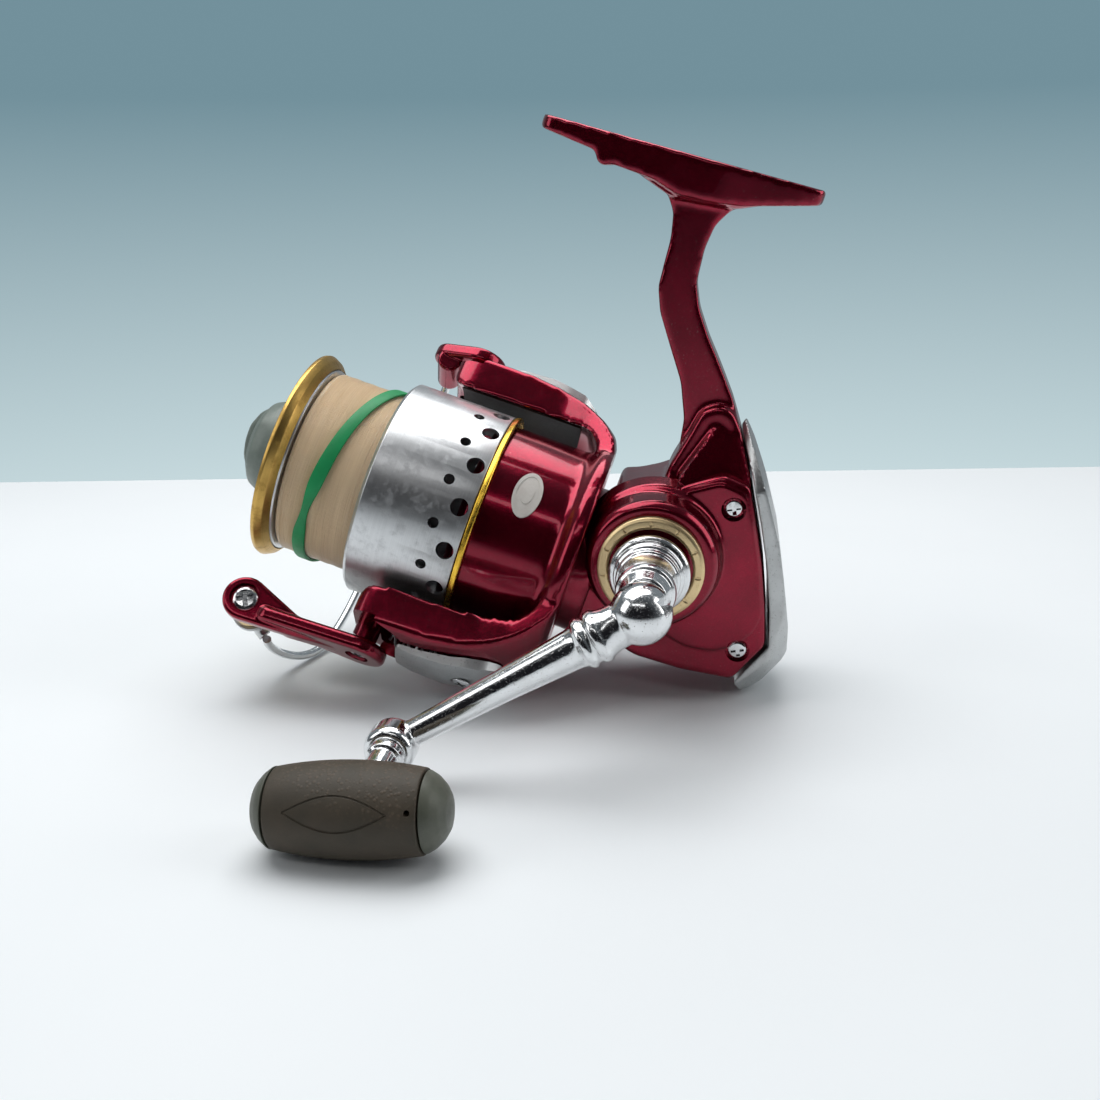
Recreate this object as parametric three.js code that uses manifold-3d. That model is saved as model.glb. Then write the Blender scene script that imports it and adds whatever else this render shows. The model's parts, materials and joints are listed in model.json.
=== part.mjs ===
// A front-drag spinning reel, built in millimetres as separate named pieces.
// Inside the reel group the spool axis is the X axis (the spool points to -X), the handle is on the -Y side
// and the rod foot is up, at +Z. The reel group is then turned into the attitude in which the reel lies on a
// table, on its handle knob, the lower rotor arm and the lower rear corner of the body.
import * as THREE from "three";
import { mergeVertices } from "three/addons/utils/BufferGeometryUtils.js";
import Module from "manifold-3d";

const wasm = await Module();
wasm.setup();

// Driving dimensions, mm.
const gap = 0.3;
const driveZ = 11.5; // the handle axis passes above the spool axis
const bodyFrontX = -13.2;
const bodySeamY = -7; // the side plate closes the body on this plane
const bodyFarY = 14;
const plateFaceY = -14;
const bossRadius = 15.2;
const bossFaceY = -22.5;
const hubRingRadius = 11.7;
const stemHalf = 4.4;
const footHalfWidth = 8.2;
const noseRadius = 17.5;
const noseFrontX = -29;
const shaftRadius = 2.4;
const pinionRadius = 5.4;
const rotorRearX = -15.9;
const rotorFrontX = -44.5;
const rotorRadius = 24.3;
const armInner = 29.5;
const armOuter = 37.8;
const armTipX = -59.2;
const pivotX = -55.8;
const skirtRadius = 26.2;
const skirtWall = 0.9;
const skirtRearX = -41.2;
const skirtFrontX = -66;
const lipX = -88;
const lipRadius = 25.4;
const lineRadius = 22.2;
const arborRadius = 15;
const dragRadius = 12.2;
const ballY = -51;
const ballRadius = 6.3;
const armEnd = new THREE.Vector3(-37.6, -60, -29.5);
const knobCentreY = -86;
const knobHalf = 19.5;
const knobRadius = 8.9;
const rollerX = -84.8;
const rollerZ = -38;
// How far the rotor stands turned, its roller arm towards the handle side.
const rotorTurn = 0.72;

// Attitude on the table: turned about X and Y, then lifted and centred.
const leanAngle = 0.00204;
const noseAngle = 0.32997;
const tableShift = new THREE.Vector3(29.34, 24.73, 24.88);

// ---- helpers -------------------------------------------------------------------------------------------

// A closed geometry as a solid whose faces point out.
function solidOf(geometry) {
  geometry.deleteAttribute("normal");
  geometry.deleteAttribute("uv");
  const merged = mergeVertices(geometry, 1e-4);
  const place = merged.attributes.position;
  const corners = [new THREE.Vector3(), new THREE.Vector3(), new THREE.Vector3()];
  const faces = [];
  let volume = 0;
  for (let i = 0; i < merged.index.count; i += 3) {
    const face = [0, 1, 2].map((k) => merged.index.getX(i + k));
    if (face[0] === face[1] || face[1] === face[2] || face[0] === face[2]) continue;
    corners.forEach((corner, k) => corner.fromBufferAttribute(place, face[k]));
    volume += corners[0].dot(corners[1].clone().cross(corners[2]));
    faces.push(face);
  }
  if (volume < 0) faces.forEach((face) => face.reverse());
  return new wasm.Manifold(
    new wasm.Mesh({ numProp: 3, vertProperties: place.array, triVerts: new Uint32Array(faces.flat()) }),
  );
}

function join(...solids) {
  return solids.reduce((whole, solid) => whole.add(solid));
}

function cut(whole, ...tools) {
  return tools.reduce((rest, tool) => rest.subtract(tool), whole);
}

// A profile of [along, radius] points turned about an axis.
function turned(axis, profile, { segments = 24, at = [0, 0, 0] } = {}) {
  const geometry = new THREE.LatheGeometry(profile.map(([along, radius]) => new THREE.Vector2(radius,
    along)), segments);
  if (axis === "x") geometry.rotateZ(-Math.PI / 2);
  if (axis === "z") geometry.rotateX(Math.PI / 2);
  return solidOf(geometry.translate(...at));
}

function rod(axis, from, to, radius, options) {
  return turned(axis, [[from, 0], [from, radius], [to, radius], [to, 0]], options);
}

function ring(axis, from, to, inner, outer, options) {
  return turned(axis, [[from, inner], [from, outer], [to, outer], [to, inner], [from, inner]], options);
}

function box(minimum, maximum) {
  const size = maximum.map((value, k) => value - minimum[k]);
  const middle = maximum.map((value, k) => (value + minimum[k]) / 2);
  return solidOf(new THREE.BoxGeometry(...size).translate(...middle));
}

// An outline in the X-Z plane, given thickness along Y.
function slab(outline, fromY, toY, { curve = 3 } = {}) {
  const geometry = new THREE.ExtrudeGeometry(outline, { depth: toY - fromY, bevelEnabled: false,
    curveSegments: curve });
  geometry.rotateX(Math.PI / 2);
  return solidOf(geometry.translate(0, toY, 0));
}

// An outline in the X-Y plane, given thickness along Z.
function plate(outline, fromZ, toZ, { curve = 4 } = {}) {
  const geometry = new THREE.ExtrudeGeometry(outline, { depth: toZ - fromZ, bevelEnabled: false,
    curveSegments: curve });
  return solidOf(geometry.translate(0, 0, fromZ));
}

function polygon(points) {
  return new THREE.Shape(points.map(([a, b]) => new THREE.Vector2(a, b)));
}

// A rounded bar between two circles, seen flat.
function link([ax, ay], ar, [bx, by], br) {
  const along = Math.atan2(by - ay, bx - ax);
  const flare = Math.acos((ar - br) / Math.hypot(bx - ax, by - ay));
  const shape = new THREE.Shape();
  shape.absarc(ax, ay, ar, along + flare, along - flare + 2 * Math.PI, false);
  shape.absarc(bx, by, br, along - flare, along + flare, false);
  return shape;
}

// A round wire along a curve.
function wire(points, radius, { steps = 24, sides = 8 } = {}) {
  const section = new THREE.Shape();
  section.absarc(0, 0, radius, 0, 2 * Math.PI, false);
  const path = new THREE.CatmullRomCurve3(points.map((point) => new THREE.Vector3(...point)));
  return solidOf(
    new THREE.ExtrudeGeometry(section, { steps, bevelEnabled: false, extrudePath: path,
      curveSegments: sides }),
  );
}

// A turned piece whose own axis (+Z of the profile) points along a direction.
function turnedAlong(profile, start, direction, segments = 16) {
  const geometry = new THREE.LatheGeometry(profile.map(([along, radius]) => new THREE.Vector2(radius,
    along)), segments);
  geometry.applyQuaternion(new THREE.Quaternion().setFromUnitVectors(new THREE.Vector3(0, 1, 0),
    direction));
  return solidOf(geometry.translate(start.x, start.y, start.z));
}

const reel = new THREE.Group();
const turning = new THREE.Group(); // the rotor, and the bail on it
turning.rotation.x = -rotorTurn;
reel.add(turning);
let holder = reel;

function piece(name, solid, color, roughness, metalness) {
  const made = solid.getMesh();
  const geometry = new THREE.BufferGeometry();
  geometry.setAttribute("position", new THREE.BufferAttribute(made.vertProperties, made.numProp));
  geometry.setIndex(new THREE.BufferAttribute(made.triVerts, 1));
  geometry.computeVertexNormals();
  const mesh = new THREE.Mesh(geometry, new THREE.MeshStandardMaterial({ color, roughness, metalness }));
  mesh.name = name;
  holder.add(mesh);
  return mesh;
}

const candyRed = [0x8a0f24, 0.25, 0.6];
const satinSilver = [0xb9babb, 0.4, 0.9];
const chrome = [0xd8dadc, 0.12, 1];
const gold = [0xc9a23c, 0.35, 0.9];
const steel = [0x9a9c9e, 0.35, 1];
const brass = [0xb08d3e, 0.4, 1];

// ---- body: one casting with the stem and the rod foot ----------------------------------------------------

const lowerOutline = new THREE.Shape();
lowerOutline.moveTo(bodyFrontX, -12.5);
lowerOutline.lineTo(0, -12.7);
lowerOutline.lineTo(4, -13.7);
lowerOutline.lineTo(15, -13.1);
lowerOutline.lineTo(27.2, -11);
lowerOutline.lineTo(31.4, -0.2);
lowerOutline.splineThru([[28.3, 8], [23.9, 17.6], [19.3, 26],
  [14.6, 34.2]].map(([x, z]) => new THREE.Vector2(x, z)));
lowerOutline.lineTo(8, 34.6);
lowerOutline.lineTo(-1.6, 28.5);
lowerOutline.splineThru([[-5, 25.6], [-9.5, 22.8]].map(([x, z]) => new THREE.Vector2(x, z)));
lowerOutline.lineTo(bodyFrontX, 21.4);

const stemOutline = new THREE.Shape();
stemOutline.moveTo(-2.1, 30);
stemOutline.splineThru([[-4.6, 40.8], [-12.9, 55.6], [-18.7, 66], [-20.1, 76], [-23.1, 85.2],
  [-31, 88.4]].map(([x, z]) => new THREE.Vector2(x, z)));
stemOutline.lineTo(-3, 90.5);
stemOutline.splineThru([[-10.4, 86.4], [-12.8, 78], [-11.6, 69.3], [-6.2, 60.9],
  [4.6, 48.6]].map(([x, z]) => new THREE.Vector2(x, z)));
stemOutline.lineTo(14.4, 34.6);
stemOutline.lineTo(14.4, 28);
stemOutline.lineTo(-3.4, 26);

const footOutline = new THREE.Shape();
footOutline.moveTo(-54.6, 92.5);
footOutline.lineTo(-54.4, 89.7);
footOutline.lineTo(-41.5, 88.9);
footOutline.lineTo(-39.4, 86.4);
footOutline.lineTo(-37, 87.4);
footOutline.lineTo(-28, 87.3);
footOutline.lineTo(-22, 85.5);
footOutline.lineTo(-8, 88);
footOutline.lineTo(7.6, 93.2);
footOutline.lineTo(7.4, 96.2);
const footPlan = new THREE.Shape();
footPlan.moveTo(-54.6, -2.5);
footPlan.quadraticCurveTo(-54, -5.6, -49, -6);
footPlan.lineTo(-26, -footHalfWidth);
footPlan.lineTo(-14, -footHalfWidth);
footPlan.lineTo(3, -6);
footPlan.quadraticCurveTo(7.6, -5.6, 7.6, -2.5);
footPlan.lineTo(7.6, 2.5);
footPlan.quadraticCurveTo(7.6, 5.6, 3, 6);
footPlan.lineTo(-14, footHalfWidth);
footPlan.lineTo(-26, footHalfWidth);
footPlan.lineTo(-49, 6);
footPlan.quadraticCurveTo(-54, 5.6, -54.6, 2.5);
const foot = slab(footOutline, -footHalfWidth, footHalfWidth).intersect(plate(footPlan, 80, 100));

// The gear room, open towards the side plate.
const roomOutline = polygon([[-10.7, -10], [3, -10.6], [15, -10.2], [25.3, -8.4], [28.6, -0.2],
  [25.6, 7.5], [21.3, 16.6],
  [16.6, 25], [12, 29], [-3, 29], [-10.7, 21]]);
const gearRadius = 12.3;
const body = cut(
  join(
    slab(lowerOutline, bodySeamY, bodyFarY),
    slab(stemOutline, -stemHalf, stemHalf),
    foot,
    rod("x", noseFrontX, bodyFrontX + 2, noseRadius),
  ),
  slab(roomOutline, bodySeamY - 2, bodyFarY - 2.6),
  rod("y", bodySeamY - 4, -3, gearRadius + 0.5, { at: [0, 0, driveZ] }),
  rod("x", noseFrontX - 1, -16, 12.3),
  rod("x", -17, -9, pinionRadius + 0.5),
  rod("y", 10.5, 13, 7.3, { at: [0, 0, driveZ], segments: 16 }),
  rod("y", 12, 20, 4.6, { at: [0, 0, driveZ], segments: 16 }),
);
piece("body_with_foot", body, ...candyRed);

// ---- side plate with the handle boss ----------------------------------------------------------------------

const screwSpots = [[12.9, 27.8], [25.6, -3.4]];
const sidePlateOutline = new THREE.Shape();
sidePlateOutline.moveTo(bodyFrontX, -12.3);
sidePlateOutline.lineTo(0, -12.5);
sidePlateOutline.lineTo(4, -13.5);
sidePlateOutline.lineTo(15, -12.9);
sidePlateOutline.lineTo(27, -10.8);
sidePlateOutline.lineTo(31.2, -0.2);
sidePlateOutline.splineThru([[28.1, 8], [23.7, 17.6], [19.1, 26],
  [14.6, 33.6]].map(([x, z]) => new THREE.Vector2(x, z)));
sidePlateOutline.lineTo(8, 34);
sidePlateOutline.lineTo(-2.4, 26.5);
sidePlateOutline.lineTo(bodyFrontX, 21.4);
const plateRoom = polygon([[-10.7, -10], [3, -10.4], [15, -10], [20, -9], [21, 4], [18, 20], [8, 24],
  [-3, 24], [-10.7, 20]]);
let sidePlate = join(
  slab(sidePlateOutline, plateFaceY, bodySeamY - gap),
  turned("y", [[bossFaceY, 0], [bossFaceY, 13.4], [bossFaceY + 1.2, 14.6],
    [bodySeamY - gap - 2, bossRadius],
    [bodySeamY - gap - 2, 0]], { at: [0, 0, driveZ], segments: 28 }),
);
sidePlate = cut(
  sidePlate,
  slab(plateRoom, plateFaceY + 2.4, 0),
  rod("x", noseFrontX, bodyFrontX + 2 + gap, noseRadius + gap),
  rod("y", -17, 0, gearRadius + 0.5, { at: [0, 0, driveZ] }),
  rod("y", -21, -10, 9, { at: [0, 0, driveZ] }),
  rod("y", -30, -10, 6.6, { at: [0, 0, driveZ], segments: 16 }),
  ...screwSpots.map(([x, z]) => rod("y", plateFaceY - 2, plateFaceY + 1.6, 2.7, { at: [x, 0, z],
    segments: 12 })),
);
piece("side_plate", sidePlate, ...candyRed);

screwSpots.forEach(([x, z], k) => {
  const head = turned("y", [[plateFaceY + 0.2, 0], [plateFaceY + 0.2, 1.6], [plateFaceY + 0.7, 2.3],
    [plateFaceY + 1.3, 2.3], [plateFaceY + 1.3, 0]], { at: [x, 0, z], segments: 10 });
  const slot = 0.45;
  const deep = plateFaceY + 0.75;
  piece(
    ["side_plate_screw_upper", "side_plate_screw_lower"][k],
    cut(head, box([x - 1.5, -20, z - slot / 2], [x + 1.5, deep, z + slot / 2]),
      box([x - slot / 2, -20, z - 1.5], [x + slot / 2, deep, z + 1.5])),
    ...chrome,
  );
});

piece(
  "hub_index_ring",
  turned("y", [[bossFaceY - gap, 9.2], [bossFaceY - 2.2, 9.2], [bossFaceY - 2.4, 11],
    [bossFaceY - 1.9, hubRingRadius],
    [bossFaceY - gap, hubRingRadius], [bossFaceY - gap, 9.2]], { at: [0, 0, driveZ], segments: 28 }),
  ...gold,
);

// ---- rear cover: a bent band round the back of the body ---------------------------------------------------

const coverOutline = new THREE.Shape();
coverOutline.moveTo(5.1, 48.7);
coverOutline.splineThru([[14.3, 35.6], [19.8, 26.2], [24.4, 17.8], [28.8, 8.2],
  [31.9, -0.2]].map(([x, z]) => new THREE.Vector2(x, z)));
coverOutline.lineTo(27.7, -11.4);
coverOutline.lineTo(31.2, -15.6);
coverOutline.lineTo(35, -13.4);
coverOutline.lineTo(37.4, -2.2);
coverOutline.splineThru([[34.6, 5.2], [29.7, 15.1], [25.9, 22.4], [19.4, 32], [13.4, 40], [8.3, 46.2],
  [5.6, 49.4]].map(([x, z]) => new THREE.Vector2(x, z)));
// Its underside is crowned, so that the reel rests on the middle of it.
const coverRound = [[-30, 0], [-30, 6], [-17.5, 11], [-12, 15.5], [-4, 18.5], [15, 18.2], [60, 7],
  [60, 0]];
piece(
  "rear_cover",
  slab(coverOutline, plateFaceY + 0.6, bodyFarY - 0.6).intersect(
    turned("z", coverRound, { at: [20, 0, 0], segments: 24 }),
  ),
  ...satinSilver,
);

// ---- bearings and clutch held by the body -----------------------------------------------------------------

piece("drive_bearing_near", ring("y", -20.8, -17.2, 4.4, 8.7, { at: [0, 0, driveZ], segments: 16 }),
  ...steel);
piece("drive_bearing_far", ring("y", 11.6 - 0.9, 12.8 + 0.6 - 0.9, 4.4, 7, { at: [0, 0, driveZ],
  segments: 16 }), ...steel);
piece("pinion_bearing", ring("x", -19.6, -16.4, pinionRadius + 0.4, 12, { segments: 16 }), ...steel);
piece("one_way_clutch", ring("x", -28.4, -20, pinionRadius + 0.4, 12, { segments: 16 }), ...steel);

// ---- drive: shaft, face gear, handle collar and the cap on the far side ------------------------------------

const driveShaft = join(
  rod("y", -26.4, -4.4, 4, { at: [0, 0, driveZ], segments: 16 }),
  rod("y", -4.5, 10, 3.8, { at: [0, 0, driveZ], segments: 16 }),
  rod("y", 9.5, 14.6, 4, { at: [0, 0, driveZ], segments: 16 }),
);
piece("drive_shaft", driveShaft, ...steel);

const driveTeeth = 52;
const pinionTeeth = 10;
const faceTeeth = [];
for (let k = 0; k < driveTeeth; k += 4) {
  const angle = (k / driveTeeth) * 2 * Math.PI;
  const tooth = solidOf(new THREE.BoxGeometry(2.6, 0.7, 0.8).translate(10.8, -6.4,
    0).rotateY(angle).translate(0, 0, driveZ));
  faceTeeth.push(tooth);
}
piece(
  "drive_gear",
  join(
    turned("y", [[-9.5, 4.3], [-9.5, 9], [-8.6, gearRadius], [-6.6, gearRadius], [-6.6, 4.3],
      [-9.5, 4.3]],
      { at: [0, 0, driveZ], segments: 28 }),
    ...faceTeeth,
  ),
  ...brass,
);

// The collar: a stepped flange, a neck, and a tongue that the folding handle is pinned to.
const armFlat = new THREE.Vector3(armEnd.x, 0, armEnd.z - driveZ).normalize();
const foldAxis = new THREE.Vector3(0, 1, 0).cross(armFlat).normalize();
const ballCentre = new THREE.Vector3(0, ballY, driveZ);

// A box in the handle's own directions: along the arm, along Y and along the fold axis.
function handleBox(alongArm, alongY, alongFold) {
  const middle = (range) => (range[0] + range[1]) / 2;
  const geometry = new THREE.BoxGeometry(
    alongArm[1] - alongArm[0],
    alongY[1] - alongY[0],
    alongFold[1] - alongFold[0],
  );
  geometry.translate(middle(alongArm), middle(alongY), middle(alongFold));
  geometry.applyMatrix4(new THREE.Matrix4().makeBasis(armFlat, new THREE.Vector3(0, 1, 0),
    foldAxis.clone().negate()));
  return solidOf(geometry.translate(ballCentre.x, ballCentre.y, ballCentre.z));
}

function foldRod(from, to, radius) {
  const start = ballCentre.clone().addScaledVector(foldAxis, from);
  return turnedAlong([[0, 0], [0, radius], [to - from, radius], [to - from, 0]], start, foldAxis, 10);
}

const tongueHalf = 1.5;
piece(
  "handle_collar",
  cut(
    join(
      turned("y", [[-26.7, 0], [-26.7, 8.2], [-27.3, 8.8], [-28.6, 8.8], [-30.4, 7.6], [-31, 6.7],
        [-38.5, 6.2],
        [-40.6, 5.6], [-43.6, 4.6], [-43.6, 0]], { at: [0, 0, driveZ], segments: 24 }),
      handleBox([-2, 2], [0, 8.2], [-tongueHalf, tongueHalf]),
      foldRod(-tongueHalf, tongueHalf, 3),
    ),
    foldRod(-8, 8, 1.5),
  ),
  ...chrome,
);
piece("handle_pin", foldRod(-5, 5, 1.15), ...steel);
piece(
  "handle_cap",
  turned("y", [[14.9, 0], [14.9, 7.4], [17.2, 7.2], [18.6, 5.4],
    [18.9, 0]], { at: [0, 0, driveZ], segments: 20 }),
  ...candyRed,
);

// ---- folding handle --------------------------------------------------------------------------------------

const armStart = ballCentre.clone();
const armVector = armEnd.clone().sub(armStart);
const armLength = armVector.length();
const armDirection = armVector.clone().normalize();
const armProfile = [[0, 0], [0, 4.6], [8.6, 4.9], [9, 5.5], [10.4, 5.5], [10.8, 4.9], [11.6, 4.9],
  [12, 5.4],
  [13.2, 5.2], [13.6, 4.4], [30, 3.3], [armLength - 3, 2.7], [armLength - 3, 0]];
const slotHalf = tongueHalf + 0.4;
piece(
  "handle_arm",
  cut(
    join(
      solidOf(new THREE.SphereGeometry(ballRadius, 16, 10).translate(ballCentre.x, ballCentre.y,
        ballCentre.z)),
      turnedAlong(armProfile, armStart, armDirection, 16),
      turned("y", [[armEnd.y - 5, 0], [armEnd.y - 5, 4.2], [armEnd.y - 3.8, 5.2], [armEnd.y + 1, 5.2],
        [armEnd.y + 4, 3.4], [armEnd.y + 4.6, 0]], { at: [armEnd.x, 0, armEnd.z], segments: 16 }),
    ),
    handleBox([-9, 3.8], [-3.8, 9], [-slotHalf, slotHalf]),
    foldRod(-8, 8, 1.5),
  ),
  ...chrome,
);
piece(
  "knob_shaft",
  turned("y", [[armEnd.y - 5.3, 0], [armEnd.y - 5.3, 3.6], [armEnd.y - 8, 3],
    [knobCentreY + knobRadius, 3],
    [knobCentreY + knobRadius, 2.2], [knobCentreY - 3, 2.2], [knobCentreY - 3, 0]],
  { at: [armEnd.x, 0, armEnd.z], segments: 12 }),
  ...chrome,
);

// The knob lies along its own direction, across the shaft.
const knobTilt = 0.375;
const knobAlong = new THREE.Vector3(Math.cos(knobTilt), 0, Math.sin(knobTilt));
const knobStart = new THREE.Vector3(armEnd.x, knobCentreY, armEnd.z).addScaledVector(knobAlong,
  -knobHalf);
const gripFrom = 4.8;
const gripTo = 2 * knobHalf - 6;
function knobRound(along) {
  const share = (along - knobHalf) / knobHalf;
  return knobRadius * Math.sqrt(1 - 0.4 * share * share);
}
const gripSteps = 7;
const gripOuter = [];
for (let k = 0; k <= gripSteps; k++) {
  const along = gripFrom + (k / gripSteps) * (gripTo - gripFrom);
  gripOuter.push([along, knobRound(along)]);
}
const knobBore = rod("y", knobCentreY - 4, knobCentreY + 12, 2.6, { at: [armEnd.x, 0, armEnd.z],
  segments: 12 });
const knobMouth = rod("y", knobCentreY + 3, knobCentreY + 12, 3.5, { at: [armEnd.x, 0, armEnd.z],
  segments: 12 });
piece(
  "knob_core",
  cut(
    turnedAlong([[0, 0], [0, 2.6], [0.8, 5], [2.4, 6.7], [gripFrom - gap, 7.5], [gripFrom - gap, 4.8],
      [gripTo + gap, 4.8], [gripTo + gap, 7.3], [2 * knobHalf - 2.6, 6.5], [2 * knobHalf - 0.8, 5],
      [2 * knobHalf, 2.6], [2 * knobHalf, 0]], knobStart, knobAlong, 18),
    knobBore,
  ),
  0x5c5f50, 0.6, 0.1,
);
piece(
  "knob_grip",
  cut(
    turnedAlong([[gripFrom, 5.1], ...gripOuter, [gripTo, 5.1],
      [gripFrom, 5.1]], knobStart, knobAlong, 18),
    knobMouth,
  ),
  0x3c372a, 0.85, 0,
);

// ---- rotor: cup, two arms, pinion and nut -------------------------------------------------------------------

holder = turning;
const cup = turned("x", [[rotorFrontX, 5.8], [rotorFrontX, 22], [rotorFrontX + 2, rotorRadius],
  [-21.5, rotorRadius],
  [-18.6, 27.2], [rotorRearX, 27.4], [rotorRearX, 21.6], [-39, 21.6], [-41.5, 19], [-41.5, 9],
    [-32, 9], [-32, 5.8],
  [rotorFrontX, 5.8]], { segments: 28 });
const armRing = turned("x", [[armTipX, armInner + 1.4], [armTipX, armOuter - 1.2],
  [armTipX + 1.6, armOuter],
  [-42, armOuter], [-34, 36.9], [-27, 35.2], [-20.8, 32.4], [-17, 29.6], [rotorRearX, 26.6],
    [rotorRearX, 22.6],
  [-20, 22.6], [-20.6, 27], [-24, armInner], [armTipX + 1, armInner],
    [armTipX, armInner + 1.4]], { segments: 40 });
const armPlan = new THREE.Shape();
armPlan.moveTo(armTipX - 1, -6);
armPlan.quadraticCurveTo(armTipX - 0.6, -11.4, armTipX + 5, -12);
armPlan.quadraticCurveTo(-32, -13, -24, -15.5);
armPlan.quadraticCurveTo(-17, -19, -12, -22);
armPlan.lineTo(-12, 22);
armPlan.quadraticCurveTo(-17, 19, -24, 15.5);
armPlan.quadraticCurveTo(-32, 13, armTipX + 5, 12);
armPlan.quadraticCurveTo(armTipX - 0.6, 11.4, armTipX - 1, 6);
const arms = armRing.intersect(plate(armPlan, -50, 50, { curve: 3 }));
// A shallow trough in the outside of each arm, under its cover.
const troughPlan = new THREE.Shape();
troughPlan.moveTo(-53, -7.4);
troughPlan.lineTo(-30, -8.4);
troughPlan.lineTo(-30, 8.4);
troughPlan.lineTo(-53, 7.4);
const troughs = plate(troughPlan, -50, 50).intersect(ring("x", -53, -30, 32, 50, { segments: 16 }));
// Each tip is stepped back round its pivot boss, which gives the bail lever room to swing.
const seatRadius = 12.2;
const seatDepth = 34.2;
const seatTools = [[seatDepth, 60], [-60, -seatDepth]].map(([from, to]) =>
  ring("z", from, to, 3, seatRadius, { at: [pivotX, 0, 0], segments: 20 }));
const pivotBore = rod("z", -60, 60, 2, { at: [pivotX, 0, 0], segments: 10 });
const tipTrim = cut(pivotBore, rod("z", -28, 28, 3, { at: [pivotX, 0, 0], segments: 10 }));
piece("rotor", cut(join(cup, arms), troughs, tipTrim, ...seatTools), ...candyRed);

piece(
  "pinion_gear",
  cut(
    join(
      rod("x", -49.8, -12.4, pinionRadius, { segments: 16 }),
      turned("x", [[-12.6, 0], [-12.6, 3.6], [-0.6, 3.6], [-0.6, 0]], { segments: pinionTeeth * 2 }),
    ),
    rod("x", -60, 5, shaftRadius + 0.4, { segments: 12 }),
  ),
  ...brass,
);
piece(
  "rotor_nut",
  cut(rod("x", -49.4, rotorFrontX - gap, 8.4, { segments: 6 }), rod("x", -55, -40, pinionRadius + 0.35,
    { segments: 16 })),
  ...steel,
);

function coverShape() {
  const shape = new THREE.Shape();
  shape.moveTo(-47.5, -7.2);
  shape.lineTo(-32, -9);
  shape.quadraticCurveTo(-24, -8, -22.5, 0);
  shape.quadraticCurveTo(-24, 8, -32, 9);
  shape.lineTo(-47.5, 7.2);
  return shape;
}
const coverPlan = plate(coverShape(), -60, 60, { curve: 5 });
const coverRing = turned("x", [[-48, armOuter + gap], [-48, armOuter + 1], [-44, armOuter + 1.6],
  [-36, armOuter + 1.8],
  [-28, armOuter + 0.4], [-22, 34.6], [-22, 33.3], [-27.4, 35.7], [-34.6, 37.4], [-42, armOuter + gap],
  [-48, armOuter + gap]], { segments: 40 });
const coverScrewX = -31.2;
[["upper", 1], ["lower", -1]].forEach(([side, sign]) => {
  const half = box([-70, -30, sign > 0 ? 0 : -70], [0, 30, sign > 0 ? 70 : 0]);
  const top = armOuter + 1.8;
  const hole = rod("z", sign * (top - 1.1), sign * (top + 4), 2.6, { at: [coverScrewX, 0, 0],
    segments: 12 });
  piece("arm_cover_" + side, cut(coverRing.intersect(coverPlan).intersect(half), hole), ...satinSilver);
  const head = turned("z", [[sign * (top - 0.8), 0], [sign * (top - 0.8), 2.2], [sign * (top - 0.4), 2.2],
    [sign * top, 1.5], [sign * top, 0]], { at: [coverScrewX, 0, 0], segments: 10 });
  const cross = join(
    box([coverScrewX - 1.4, -0.25, sign > 0 ? top - 0.5 : -top - 1],
      [coverScrewX + 1.4, 0.25, sign > 0 ? top + 1 : 0.5 - top]),
    box([coverScrewX - 0.25, -1.4, sign > 0 ? top - 0.5 : -top - 1],
      [coverScrewX + 0.25, 1.4, sign > 0 ? top + 1 : 0.5 - top]),
  );
  piece("arm_cover_screw_" + side, cut(head, cross), ...chrome);
});

// The oval badge sits on the cup, half way round between the arms.
const badgeAngle = -Math.PI / 2;
const badgeShape = new THREE.Shape();
badgeShape.absellipse(-31, 0, 3.2, 5.6, 0, 2 * Math.PI, false, 0);
const badge = plate(badgeShape, 20, 30, { curve: 4 })
  .intersect(ring("x", -40, -22, rotorRadius + 0.25, rotorRadius + 0.6, { segments: 40 }));
piece("rotor_badge", badge.rotate([THREE.MathUtils.radToDeg(-badgeAngle), 0, 0]), 0xd5d5d2, 0.4, 0.3);

// The coil spring that snaps the bail, in the trough under the lower cover.
const springPoints = [];
const springCoils = 4;
for (let k = 0; k <= springCoils * 8; k++) {
  const angle = (k / 8) * 2 * Math.PI;
  springPoints.push([-50.5 + (k / (springCoils * 8)) * 13, 1.6 * Math.cos(angle),
    -35 + 1.6 * Math.sin(angle)]);
}
piece("bail_spring", wire(springPoints, 0.35, { steps: springCoils * 8, sides: 2 }), ...steel);

// ---- bail: two levers, wire, line roller -------------------------------------------------------------------

const leverGap = 0.5;
const lowerTop = -(armOuter + leverGap);
const rollerHeadY = -1.2;
const rollerLever = cut(
  join(
    plate(link([pivotX, 0], 6.4, [rollerX + 7, 0.4], 3.2), lowerTop - 3.4, lowerTop, { curve: 4 }),
    slab(link([rollerX, rollerZ], 5.2, [rollerX + 12, -40], 2.6), rollerHeadY, rollerHeadY + 3.2,
      { curve: 4 }),
    slab(link([rollerX + 12, -40], 2.6, [pivotX - 6, lowerTop - 1.8], 1.7), rollerHeadY, rollerHeadY + 4.6,
      { curve: 4 }),
  ),
  rod("z", lowerTop - 5, lowerTop - 1.6, 2.8, { at: [pivotX, 0, 0], segments: 12 }),
  rod("z", lowerTop - 5, lowerTop + 2, 1.6, { at: [pivotX, 0, 0], segments: 10 }),
  rod("y", rollerHeadY - 2, rollerHeadY + 1.2, 3.5, { at: [rollerX, 0, rollerZ], segments: 12 }),
  rod("y", rollerHeadY - 2, rollerHeadY + 6, 1.6, { at: [rollerX, 0, rollerZ], segments: 10 }),
);
piece("roller_lever", rollerLever, ...candyRed);

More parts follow.
